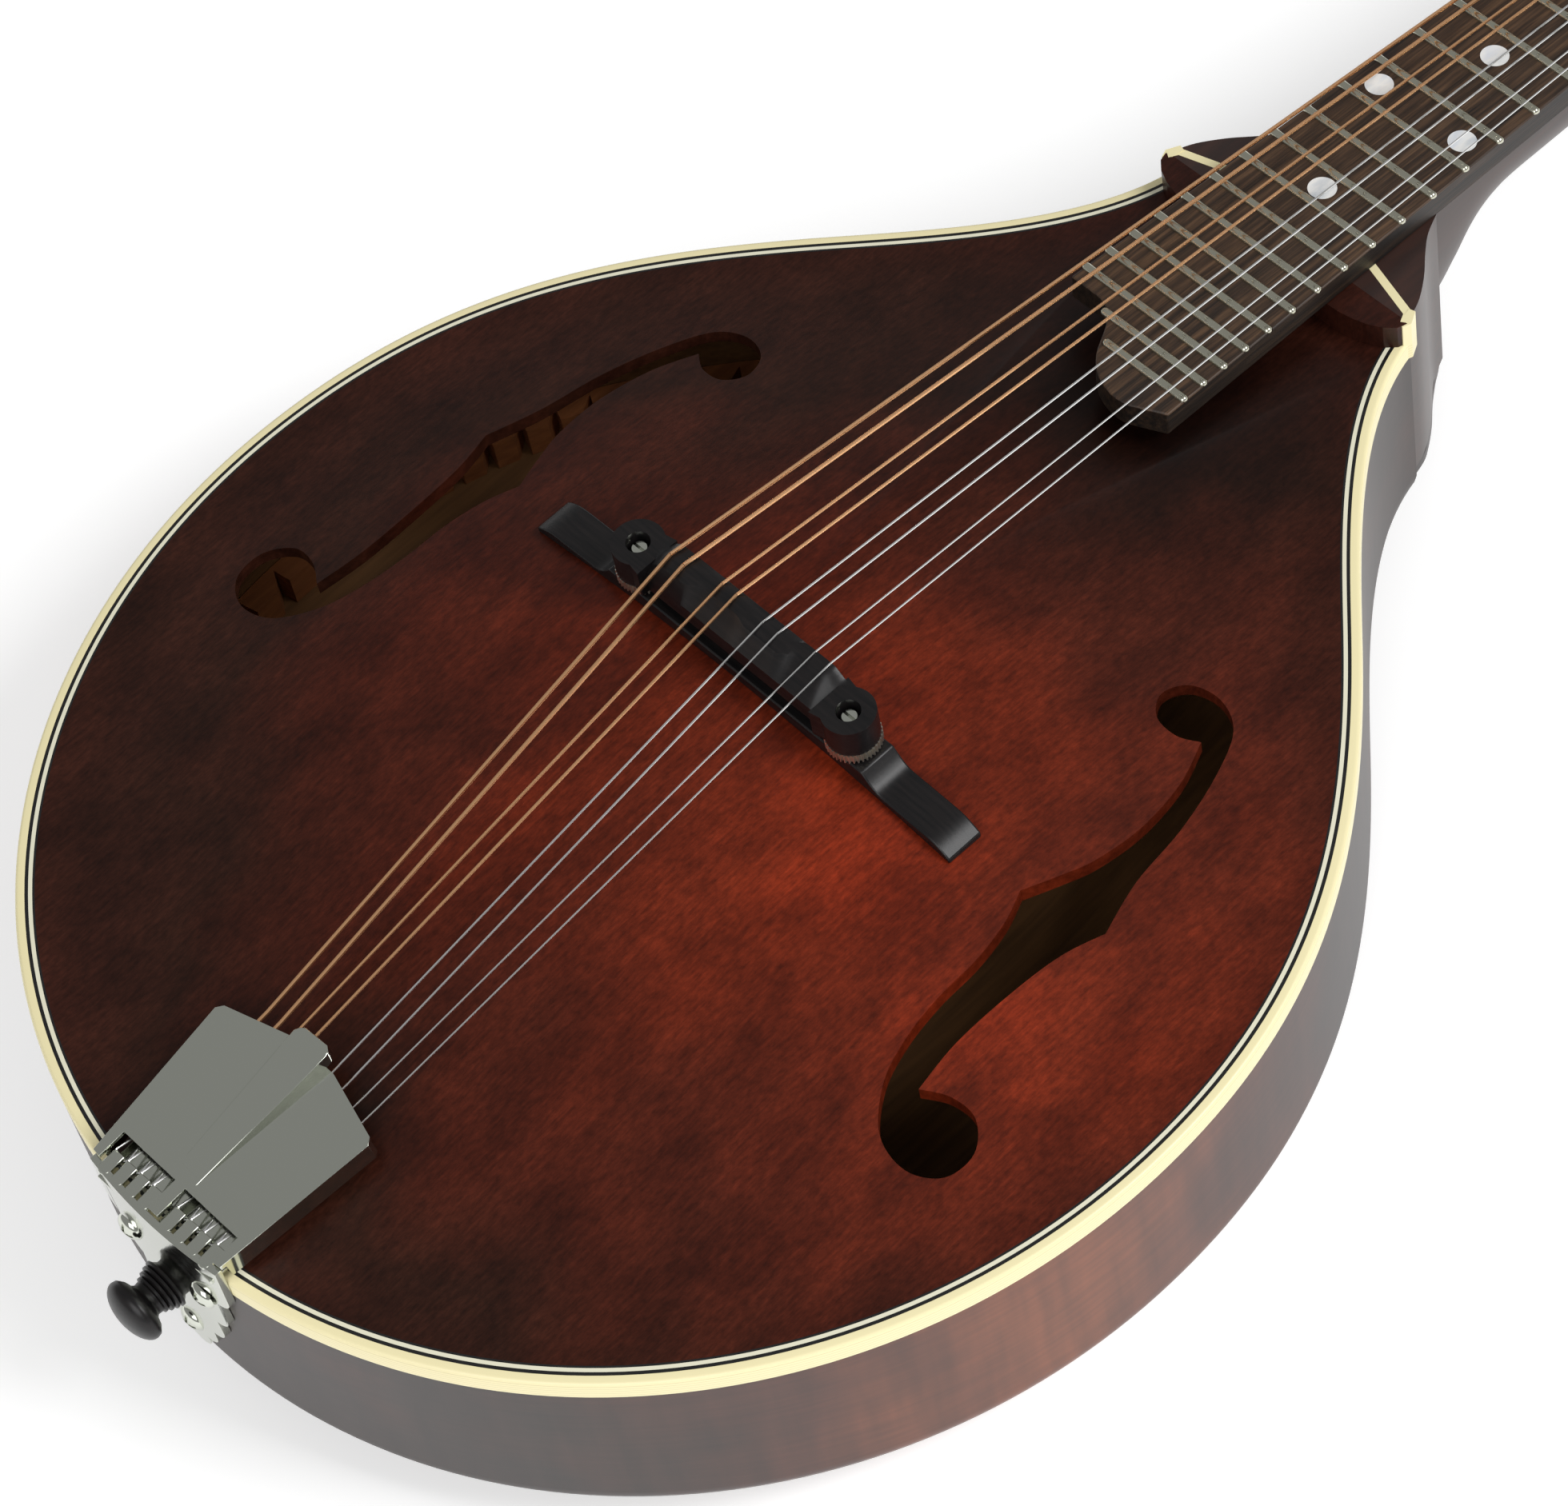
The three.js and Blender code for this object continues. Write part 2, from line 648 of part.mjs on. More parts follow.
// A wire with a bend at each of its points and straight between them.
class BentWire extends THREE.Curve {
  constructor(points) {
    super();
    this.points = points;
  }

  getPoint(share) {
    const reach = share * (this.points.length - 1);
    const index = Math.min(Math.max(Math.floor(reach), 0), this.points.length - 2);
    return this.points[index].clone().lerp(this.points[index + 1], reach - index);
  }

  getPointAt(share) {
    return this.getPoint(share);
  }

  getTangentAt(share) {
    return this.getTangent(share);
  }
}

function wire(points, radius) {
  const section = new THREE.Shape().absarc(0, 0, radius, 0, Math.PI * 2);
  const extrudePath = new BentWire(points);
  return new THREE.ExtrudeGeometry(section, { steps: points.length - 1, curveSegments: 3, extrudePath });
}

function stringPoints(string, [side, row]) {
  const post = { x: side * TUNER.postX, y: TUNER.firstY + row * TUNER.pitch };
  const inward = -side * (POST.waist + string.radius + 0.15);
  return [
    new THREE.Vector3(string.hook, HOOK.y, HOOK.z),
    new THREE.Vector3(string.lip, LIP.y, LIP.z),
    new THREE.Vector3(string.crest, string.crestY, BRIDGE.crestZ + string.radius + 0.1),
    pointInInstrument(neckFrame, string.nut, STRING_LENGTH + 1, NUT_STRING_Z),
    pointInInstrument(headFrame, post.x + inward, post.y, POST.stringZ),
  ];
}

function buildStrings() {
  STRINGS.forEach((string, index) => {
    const points = stringPoints(string, STRING_POSTS[index]);
    add(instrument, `string_${index + 1}`, wire(points, string.radius), string.material);
  });
}

function buildNut() {
  const half = boardHalf(STRING_LENGTH);
  const blank = box(
    [-half, STRING_LENGTH + TOUCH, -BOARD.thickness + TOUCH],
    [half, STRING_LENGTH + NUT.length, NUT.height],
  );
  const slots = STRINGS.map(({ nut, radius }) => {
    const slot = radius + 0.5;
    const floor = NUT_STRING_Z - slot - GAP;
    return box([nut - slot, STRING_LENGTH - 2, floor], [nut + slot, STRING_LENGTH + 8, 5]);
  });
  add(neckFrame, 'nut', cut(blank, ...slots), BONE);
}

// ---------------------------------------------------------------- bridge
function bridgeBaseShape() {
  const { footHalf: end, footTop: top } = BRIDGE;
  const shape = shapeOf([[-end, 0], [end, 0], [end, 11.5]]);
  shape.quadraticCurveTo(57.3, 13.6, 54.5, 13.8);
  shape.bezierCurveTo(46, 14.2, 39, 14.6, 35, top);
  shape.lineTo(-35, top);
  shape.bezierCurveTo(-39, 14.6, -46, 14.2, -54.5, 13.8);
  shape.quadraticCurveTo(-57.3, 13.6, -end, 11.5);
  return shape;
}

function onStuds(geometry) {
  return [-1, 1].map((side) => moved(geometry, side * BRIDGE.studX, BRIDGE.y, 0));
}

function buildBridgeBase() {
  const blank = prismY(bridgeBaseShape(), BRIDGE.y - 4.2, BRIDGE.y + 4.2);
  const sockets = onStuds(alongZ(rod(BRIDGE.studRadius + GAP, 14.6, 30)));
  add(instrument, 'bridge_base', cut(blank, underTop(), ...sockets), EBONY);
}

function saddleShape() {
  const [low, boss, crest] = [WHEEL.top + TOUCH, BRIDGE.bossTop, BRIDGE.crestZ];
  const shape = shapeOf([[-34.5, low], [34.5, low], [34.5, boss], [24.5, boss]]);
  shape.quadraticCurveTo(22.5, crest, 20.5, crest);
  shape.lineTo(-20.5, crest);
  shape.quadraticCurveTo(-22.5, crest, -24.5, boss);
  shape.lineTo(-34.5, boss);
  return shape;
}

// Seen from above: thin between two round bosses, where the studs come through.
function saddlePlan() {
  const shape = new THREE.Shape();
  const boss = 5.2;
  const [behind, rear, front] = [BRIDGE.y - boss, BRIDGE.y - 3.4, BRIDGE.y + 4.6];
  shape.moveTo(-BRIDGE.studX, behind);
  shape.lineTo(-24, behind);
  shape.quadraticCurveTo(-21, rear, -18, rear);
  shape.lineTo(18, rear);
  shape.quadraticCurveTo(21, rear, 24, behind);
  shape.lineTo(BRIDGE.studX, behind);
  shape.absarc(BRIDGE.studX, BRIDGE.y, boss, -Math.PI / 2, Math.PI / 2);
  shape.lineTo(20, front);
  shape.lineTo(-20, front);
  shape.absarc(-BRIDGE.studX, BRIDGE.y, boss, Math.PI / 2, Math.PI * 1.5);
  return shape;
}

// Each pair of strings has a crest of its own, so the top of the saddle steps in and out.
const CREST_SPANS = [[-40, -12.3], [-12.3, 0], [0, 12.3], [12.3, 40]];

function saddleRoof() {
  const roofs = CREST_SPANS.map(([left, right], pair) => {
    const ridge = STRINGS[pair * 2].crestY;
    const [reach, fall] = [12, 3.6];
    return prismX(shapeOf([
      [ridge - reach, 0], [ridge + reach, 0], [ridge + reach, BRIDGE.crestZ - fall],
      [ridge + 0.35, BRIDGE.crestZ], [ridge - 0.35, BRIDGE.crestZ], [ridge - reach, BRIDGE.crestZ - fall],
    ]), left, right);
  });
  return join(...roofs);
}

function buildBridgeTop() {
  const blank = common(prismY(saddleShape(), BRIDGE.y - 10, BRIDGE.y + 10), saddleRoof());
  const bores = onStuds(alongZ(rod(BRIDGE.studRadius + 2 * GAP, 15, 40)));
  add(instrument, 'bridge_saddle', cut(common(blank, prismZ(saddlePlan(), 0, 50)), ...bores), EBONY);

  const wheelBore = alongZ(rod(BRIDGE.studRadius + GAP, 15, 30));
  const wheel = cut(alongZ(rod(WHEEL.radius, WHEEL.bottom, WHEEL.top, 20)), wheelBore);
  const stud = alongZ(rod(BRIDGE.studRadius, 14.8, BRIDGE.bossTop - 1.4));
  const [wheels, studs] = [onStuds(wheel), onStuds(stud)];
  ['bass', 'treble'].forEach((side, index) => {
    add(instrument, `thumbwheel_${side}`, wheels[index], BRASS);
    add(instrument, `bridge_stud_${side}`, studs[index], NICKEL);
  });
}

// ---------------------------------------------------------------- tailpiece and end pin
const PLATE_HALF = 18;

function tailArc(half, distance) {
  const points = [];
  for (let i = 0; i <= 8; i += 1) {
    const x = half * (i / 4 - 1);
    const across = x / (BODY.halfWidth + distance);
    points.push([x, BODY.widestY - (BODY.tailLength + distance) * Math.sqrt(1 - across ** 2)]);
  }
  return points;
}

// The end plate steps in towards its foot in rounded lobes.
const LOBES = [
  { half: 18, foot: -7 },
  { half: 14.5, foot: -22 },
  { half: 10, foot: -31 },
  { half: 6, foot: -38 },
];

function endPlateFace() {
  const shape = shapeOf([[0, -42], [4, -41]]);
  for (const { half, foot } of [...LOBES].reverse()) {
    shape.quadraticCurveTo(half, foot - 1.5, half, foot + 3);
  }
  shape.lineTo(PLATE_HALF, 5.2);
  shape.lineTo(-PLATE_HALF, 5.2);
  for (const { half, foot } of LOBES) {
    shape.lineTo(-half, foot + 3);
    shape.quadraticCurveTo(-half, foot - 1.5, -half + 3.5, foot);
  }
  shape.lineTo(-4, -41);
  return shape;
}

function endPlate() {
  const bentSheet = [...tailArc(PLATE_HALF, 1.6), ...tailArc(PLATE_HALF, 0.1).reverse()];
  const face = prismY(endPlateFace(), TAIL_Y - 10, TAIL_Y + 10);
  const pinClearance = moved(rod(5.2, TAIL_Y - 5, TAIL_Y + 25), 0, 0, PIN_Z);
  return cut(common(prismZ(shapeOf(bentSheet), -50, 10), face), pinClearance, ...screwHoles());
}

function tailpieceTable() {
  const floor = box([-16.5, 3.1, 0], [16.5, 36, 1.2]);
  const lip = box([-19.5, 35, 0], [19.5, 36.4, 2.2]);
  const root = box([-16.5, -0.6, 0], [16.5, 0.8, 1.2]);
  const rails = [-15.9, 0, 15.9].map((x) => box([x - 0.5, 0.5, 0.1], [x + 0.5, 3.4, 1.1]));
  const tongues = STRINGS.flatMap(({ hook }) => [
    box([hook - 1.1, 3.4, 0.8], [hook + 1.1, 4.8, 4.4]),
    box([hook - 1.1, -0.4, 3.2], [hook + 1.1, 4.8, 4.4]),
  ]);
  return join(floor, lip, root, ...rails, ...tongues);
}

const COVER = { low: 0.7, top: 6, thickness: 1 };

function coverShape(inset) {
  const rear = TAILPIECE.coverRearHalf - inset;
  const front = TAILPIECE.coverFrontHalf - inset;
  return shapeOf([
    [-rear, 1.9], [-9, 0.9], [9, 0.9], [rear, 1.9], [front, 37], [6, 41.5], [-6, 41.5], [-front, 37],
  ]);
}

// A folded lid: open in front for the strings, and over the two rows of hooks behind.
function tailpieceCover() {
  const under = COVER.top - COVER.thickness;
  const skirt = prismZ(coverShape(0), COVER.low, COVER.top);
  const hollow = prismZ(coverShape(COVER.thickness - 0.1), -5, under);
  const ends = [box([-30, 30, -5], [30, 60, under]), box([-30, -5, -5], [30, 3, under - 0.2])];
  const windows = [-1, 1].map((side) => box(
    [Math.min(side * 1.4, side * 16.3), -5, -5],
    [Math.max(side * 1.4, side * 16.3), 8, 12],
  ));
  const wedge = prismX(shapeOf([[10, 5.5], [44, 5.5], [44, 8]]), -6, 6);
  return join(cut(skirt, hollow, ...ends, ...windows), wedge);
}

function tailpieceScrew() {
  const profile = [[0, -3.6], [1.8, -3.2], [3, -1.9], [1.5, -1.7], [1.5, 11], [0, 12]];
  return moved(turned(profile, 10), 0, TAIL_Y, 0);
}

function buildTailpiece() {
  const table = inFrame(tailpieceTable(), tailFrame, instrument);
  add(instrument, 'tailpiece_base', join(table, endPlate()), NICKEL);
  add(tailFrame, 'tailpiece_cover', tailpieceCover(), NICKEL);
  TAIL_SCREWS.forEach(([x, z], index) => {
    add(instrument, `tailpiece_screw_${index + 1}`, moved(tailpieceScrew(), x, 0, z), NICKEL);
  });
}

function buildEndPin() {
  const profile = [
    [0, -172.2], [2.5, -172.2], [5.6, -170.8], [6.7, -168.8], [6, -167.2], [3.8, -166.2], [3.4, -165],
    [4.4, -164], [4.6, -161.9], [5, -161.7], [5, -160.2], [4, -160], [3.5, -136], [0, -136],
  ];
  add(instrument, 'end_pin', moved(turned(profile, 20), 0, 0, PIN_Z), EBONY);
}

// ---------------------------------------------------------------- tuners
const TUNER_PLATE = {
  innerX: 9.5,
  outerX: 24.5,
  lowY: 20,
  highY: 117,
  top: -HEAD.thickness - TOUCH,
  thickness: 1.2,
};
// Where the blocks that carry the worms start and end, along X.
const BEARINGS = [[9.6, 11.2], [22, 24]];

function bearing(innerX, outerX, y) {
  return box([innerX, y - 2.6, TUNER.axisZ - 2.4], [outerX, y + 2.6, TUNER_PLATE.top]);
}

function tunerPlate() {
  const { innerX, outerX, lowY, highY, top, thickness } = TUNER_PLATE;
  const sheet = box([innerX, lowY, top - thickness], [outerX, highY, top]);
  const rows = [0, 1, 2, 3].map((row) => TUNER.firstY + row * TUNER.pitch);
  const wormRows = rows.map((y) => y + TUNER.wormOffset);
  const blocks = wormRows.flatMap((y) => BEARINGS.map(([inner, outer]) => bearing(inner, outer, y)));
  const posts = rows.map((y) => moved(alongZ(rod(POST_HOLE_RADIUS, -30, 30)), TUNER.postX, y, 0));
  const shafts = wormRows.map((y) => moved(alongX(rod(1.6, 0, 40, 8)), 0, y, TUNER.axisZ));
  return cut(join(sheet, ...blocks), ...posts, ...shafts);
}

function tuningPost() {
  const profile = [
    [0, -18.6], [5.4, -18.6], [5.4, -14.9], [POST.radius, -14.8], [POST.radius, 8], [POST.waist, 8.6],
    [POST.waist, 10.4], [POST.radius, 11], [POST.radius, 14.4], [2.2, 15], [0, 15],
  ];
  return alongZ(turned(profile, 12));
}

function tuningWorm() {
  const shaft = [
    [0, 9.4], [1.3, 9.4], [1.3, 13.4], [2.2, 13.6], [2.2, 20.4], [1.3, 20.6], [1.3, 32.6], [2.6, 33],
    [3.4, 35], [6.4, 38.5], [6.6, 42], [4.2, 45.6], [0, 46.2],
  ];
  return alongX(turned(shaft, 10));
}

function buildTuners() {
  const plate = tunerPlate();
  add(headFrame, 'tuner_plate_treble', plate, NICKEL);
  add(headFrame, 'tuner_plate_bass', mirrored(plate), NICKEL);
  STRING_POSTS.forEach(([side, row], index) => {
    const y = TUNER.firstY + row * TUNER.pitch;
    add(headFrame, `tuner_post_${index + 1}`, moved(tuningPost(), side * TUNER.postX, y, 0), NICKEL);
    const worm = side > 0 ? tuningWorm() : mirrored(tuningWorm());
    add(headFrame, `tuner_worm_${index + 1}`, moved(worm, 0, y + TUNER.wormOffset, TUNER.axisZ), PEARL);
  });
}

// ---------------------------------------------------------------- assembly
function standOnOrigin() {
  const bounds = new THREE.Box3().setFromObject(object, true);
  const centre = bounds.getCenter(new THREE.Vector3());
  instrument.position.set(-centre.x, -centre.y, -bounds.min.z);
}

buildFrames();
buildTop();
buildBack();
buildSides();
buildBinding();
buildBlocks();
buildToneBars();
buildFingerboard();
buildNeck();
buildHead();
buildTrussRod();
buildNut();
buildBridgeBase();
buildBridgeTop();
buildTailpiece();
buildEndPin();
buildTuners();
buildStrings();
standOnOrigin();

export default object;
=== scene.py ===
"""The looks of an archtop mandolin with a teardrop body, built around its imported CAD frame.

Lengths are millimetres in the frames of the instrument: +Y from the tail to the head, +X to the
treble side, +Z out of the top. INSTRUMENT, NECK, HEAD and TAIL turn them into the metres of the scene.
"""
import json
import math

import bmesh
import bpy
from mathutils import Matrix, Vector


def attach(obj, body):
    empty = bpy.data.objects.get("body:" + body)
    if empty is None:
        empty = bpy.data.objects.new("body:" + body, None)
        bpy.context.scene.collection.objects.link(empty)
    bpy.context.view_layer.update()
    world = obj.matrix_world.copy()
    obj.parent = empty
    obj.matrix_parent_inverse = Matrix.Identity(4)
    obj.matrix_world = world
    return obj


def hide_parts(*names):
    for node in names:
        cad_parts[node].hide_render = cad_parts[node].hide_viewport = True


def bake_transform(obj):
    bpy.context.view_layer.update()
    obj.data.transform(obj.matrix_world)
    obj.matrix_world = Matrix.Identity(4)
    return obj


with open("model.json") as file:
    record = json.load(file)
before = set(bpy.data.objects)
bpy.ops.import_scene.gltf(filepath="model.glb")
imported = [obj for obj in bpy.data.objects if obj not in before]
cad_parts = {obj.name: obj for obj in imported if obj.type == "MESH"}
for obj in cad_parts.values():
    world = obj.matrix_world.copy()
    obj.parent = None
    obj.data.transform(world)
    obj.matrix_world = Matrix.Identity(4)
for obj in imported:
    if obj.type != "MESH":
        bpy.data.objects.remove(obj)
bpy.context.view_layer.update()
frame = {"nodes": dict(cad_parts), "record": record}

# ---------------------------------------------------------------- sizes
STRING_LENGTH = 352.4
HALF_WIDTH, TAIL_LENGTH, WIDEST_Y = 125.7, 132, -26
TAIL_Y = WIDEST_Y - TAIL_LENGTH
SHOULDER = (74.4, 83.3)
NECK_END = (33.4, 141)
SHOULDER_EDGE = [(31.6, 144.9), (29.9, 148.2), (26.8, 152.6), (23, 157), (20, 161)]
DEPTH, PLATE, TOP_CARVED, RIB = 48, 4.5, 2.8, 2.3
BACK_ROUNDING = 3.2
BINDING_WIDTH, BINDING_HEIGHT = 2, 4.6
TOP_ARCH, BACK_ARCH, ARCH_Y, FLAT_EDGE = 15.2, 15, -12, 0.95
BOARD_THICKNESS, BOARD_END_Y = 6, 93.4
HALF_AT_NUT, HALF_AT_END = 12.9, 19.5
FRETS = 23
STUD_X, BRIDGE_Y, CREST_Z = 29, -5.5, 30.8
PIN_Z = -16.5
POST_X, POST_PITCH, FIRST_POST_Y, WORM_OFFSET, WORM_Z = 17, 23, 30, 7.85, -16.8
SIDES = {"bass": -1, "treble": 1}
REST_TILT, NECK_ANGLE, HEAD_ANGLE, TAIL_ANGLE = 1.32, 5.45, 15, 7.3
BOARD_TOP_Z, NUT_WIDTH = 25.6, 5.1
LENS, SENSOR_WIDTH, LENS_SHIFT = 124.54, 36, (-0.1400, -0.0038)


def tilt(degrees):
    return Matrix.Rotation(math.radians(degrees), 4, "X")


INSTRUMENT = Matrix.Translation((0, -0.1526525, 0.0633426)) @ tilt(REST_TILT) @ Matrix.Scale(0.001, 4)
NECK = INSTRUMENT @ Matrix.Translation((0, 0, BOARD_TOP_Z)) @ tilt(-NECK_ANGLE)
HEAD = NECK @ Matrix.Translation((0, STRING_LENGTH + NUT_WIDTH, -BOARD_THICKNESS)) @ tilt(-HEAD_ANGLE)
TAIL = INSTRUMENT @ Matrix.Translation((0, TAIL_Y, 0.4)) @ tilt(TAIL_ANGLE)


def between(source, target, point):
    """A point of one frame, in the millimetres of another."""
    return target.inverted() @ source @ Vector(point)


# ---------------------------------------------------------------- solids as (vertices, faces)
def loft(sections, looped=False):
    """A skin over rings of points; its ends are closed unless it joins up with itself."""
    count, rows = len(sections[0]), len(sections)
    faces = []
    for row in range(rows if looped else rows - 1):
        here, there = row * count, (row + 1) % rows * count
        for i in range(count):
            j = (i + 1) % count
            faces.append((here + i, here + j, there + j, there + i))
    if not looped:
        faces.append(tuple(range(count)))
        faces.append(tuple(range((rows - 1) * count, rows * count)))
    return [tuple(p) for section in sections for p in section], faces


def merged(*solids):
    vertices, faces = [], []
    for more, their_faces in solids:
        start = len(vertices)
        vertices += more
        faces += [tuple(i + start for i in face) for face in their_faces]
    return vertices, faces


def changed(solid, change):
    return [tuple(change(*v)) for v in solid[0]], solid[1]


def moved(solid, x=0, y=0, z=0):
    return changed(solid, lambda a, b, c: (a + x, b + y, c + z))


def mirrored(solid):
    return changed(solid, lambda x, y, z: (-x, y, z))


# Where a point (a, b) of a flat outline goes at the height h along each axis.
STAND = {
    "Z": lambda a, b, h: (a, b, h),
    "Y": lambda a, b, h: (a, h, b),
    "X": lambda a, b, h: (h, a, b),
}


def prism(outline, low, high, axis="Z"):
    """An outline pulled along an axis: (x, y) along Z, (x, z) along Y or (y, z) along X."""
    stand = STAND[axis]
    return loft([[stand(a, b, h) for a, b in outline] for h in (low, high)])


def block(low, high):
    (x0, y0, z0), (x1, y1, z1) = low, high
    return prism([(x0, y0), (x1, y0), (x1, y1), (x0, y1)], z0, z1)


def circle(radius, count, centre=(0, 0)):
    angles = [2 * math.pi * i / count for i in range(count)]
    return [(centre[0] + radius * math.cos(a), centre[1] + radius * math.sin(a)) for a in angles]


def turned(profile, axis, segments=32):
    """A turned piece; its profile is (radius, height) from one end to the other."""
    stand = STAND[axis]
    rings = [[stand(a, b, h) for a, b in circle(max(r, 0.02), segments)] for r, h in profile]
    return loft(rings)


def tube(points, radius, sides=8):
    """A round wire through the points, of one radius or of a radius for each point."""
    points = [Vector(p) for p in points]
    radii = radius if isinstance(radius, list) else [radius] * len(points)
    across = (points[1] - points[0]).orthogonal().normalized()
    rings = []
    for i, point in enumerate(points):
        along = (points[min(i + 1, len(points) - 1)] - points[max(i - 1, 0)]).normalized()
        across = (across - along * across.dot(along)).normalized()
        other = along.cross(across)
        rings.append([point + radii[i] * (a * across + b * other) for a, b in circle(1, sides)])
    return loft(rings)


def mesh_from(solid):
    mesh = bpy.data.meshes.new("solid")
    mesh.from_pydata([tuple(v) for v in solid[0]], [], solid[1])
    turn_faces_out(mesh)
    return mesh


def turn_faces_out(mesh):
    shape = bmesh.new()
    shape.from_mesh(mesh)
    bmesh.ops.recalc_face_normals(shape, faces=shape.faces)
    shape.to_mesh(mesh)
    shape.free()


def combined(solid, operation, *others):
    """The solid after cutting the others from it, or joining them to it."""
    base = bpy.data.objects.new("base", mesh_from(solid))
    helpers = [bpy.data.objects.new("helper", mesh_from(other)) for other in others]
    for o in [base, *helpers]:
        bpy.context.scene.collection.objects.link(o)
    for helper in helpers:
        step = base.modifiers.new("step", "BOOLEAN")
        step.operation, step.object, step.solver = operation, helper, "EXACT"
    result = base.evaluated_get(bpy.context.evaluated_depsgraph_get()).data
    made = [tuple(v.co) for v in result.vertices], [tuple(p.vertices) for p in result.polygons]
    for o in [base, *helpers]:
        bpy.data.objects.remove(o)
    return made


def cut(solid, *tools):
    return combined(solid, "DIFFERENCE", *tools)


def joined(solid, *others):
    return combined(solid, "UNION", *others)


def show(name, solid, place, slot, *nodes, body="instrument", bevel=0.0, inside=None, smooth=35,
         material=None):
    """A piece of the instrument: it stands for the CAD nodes, rides on a body and takes a finish.

    inside is (slot, test): faces whose centre and normal pass the test take that slot's finish.
    """
    mesh = mesh_from(solid)
    mesh.name = name
    at = mesh.attributes.new("mm", "FLOAT_VECTOR", "POINT")
    for vertex, value in zip(mesh.vertices, at.data):
        value.vector = vertex.co
    mesh.materials.append(MATERIALS[material or slot])
    if inside:
        mesh.materials.append(MATERIALS[inside[0]])
        for face in mesh.polygons:
            face.material_index = int(inside[1](face.center, face.normal))
    mesh.transform(place)
    mesh.shade_smooth()
    mesh.set_sharp_from_angle(angle=math.radians(smooth))
    piece = bpy.data.objects.new(name, mesh)
    bpy.context.scene.collection.objects.link(piece)
    if bevel:
        rounding = piece.modifiers.new("rounding", "BEVEL")
        rounding.width, rounding.segments = bevel * 0.001, 2
        rounding.limit_method, rounding.angle_limit = "ANGLE", math.radians(smooth)
    if body:
        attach(piece, body)
    if nodes:
        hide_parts(*nodes)
    return piece


# ---------------------------------------------------------------- materials
class Look:
    """A material with a principled shader, and short ways to add nodes to it."""

    def __init__(self, name, roughness=0.5, metallic=0.0, **more):
        self.material = bpy.data.materials.new(name)
        self.material.use_nodes = True
        self.tree = self.material.node_tree
        self.shader = self.tree.nodes["Principled BSDF"]
        self.put(self.shader, {"Roughness": roughness, "Metallic": metallic, **more})

    def put(self, node, values):
        for socket, value in values.items():
            if isinstance(value, bpy.types.NodeSocket):
                self.tree.links.new(value, node.inputs[socket])
            else:
                node.inputs[socket].default_value = value

    def add(self, kind, values=None, **settings):
        node = self.tree.nodes.new("ShaderNode" + kind)
        for key, value in settings.items():
            setattr(node, key, value)
        self.put(node, values or {})
        return node

    def place(self):
        return self.add("Attribute", attribute_name="mm").outputs["Vector"]

    def stretched(self, vector, scale, turn=0.0):
        values = {"Vector": vector, "Scale": scale, "Rotation": (0, 0, math.radians(turn))}
        return self.add("Mapping", values).outputs["Vector"]

    def noise(self, vector, scale, detail=3.0, roughness=0.5):
        values = {"Vector": vector, "Scale": scale, "Detail": detail, "Roughness": roughness}
        return self.add("TexNoise", values).outputs["Fac"]

    def math(self, operation, a, b=0.0, clamp=False):
        return self.add("Math", {0: a, 1: b}, operation=operation, use_clamp=clamp).outputs[0]

    def spread(self, value, low, high, to_low=0.0, to_high=1.0):
        values = {"Value": value, "From Min": low, "From Max": high, "To Min": to_low, "To Max": to_high}
        return self.add("MapRange", values).outputs["Result"]

    def ramp(self, value, stops):
        node = self.add("ValToRGB", {"Fac": value})
        elements = node.color_ramp.elements
        while len(elements) < len(stops):
            elements.new(0.5)
        for element, (position, colour) in zip(elements, stops):
            element.position, element.color = position, (*colour, 1)
        return node.outputs["Color"]

    def mix(self, share, a, b, blend="MIX"):
        node = self.add("Mix", {}, data_type="RGBA", blend_type=blend)
        self.put(node, {0: share, 6: a, 7: b})
        return node.outputs[2]

    def dimmed(self, colour, value):
        """The colour times a value at each point."""
        grey = self.add("CombineXYZ", {"X": value, "Y": value, "Z": value}).outputs[0]
        return self.mix(1.0, colour, grey, "MULTIPLY")

    def bump(self, height, distance, strength=1.0):
        values = {"Height": height, "Distance": distance, "Strength": strength}
        self.put(self.shader, {"Normal": self.add("Bump", values).outputs["Normal"]})

    def colour(self, value):
        value = (*value, 1) if isinstance(value, tuple) else value
        self.put(self.shader, {"Base Color": value})
        return self.material


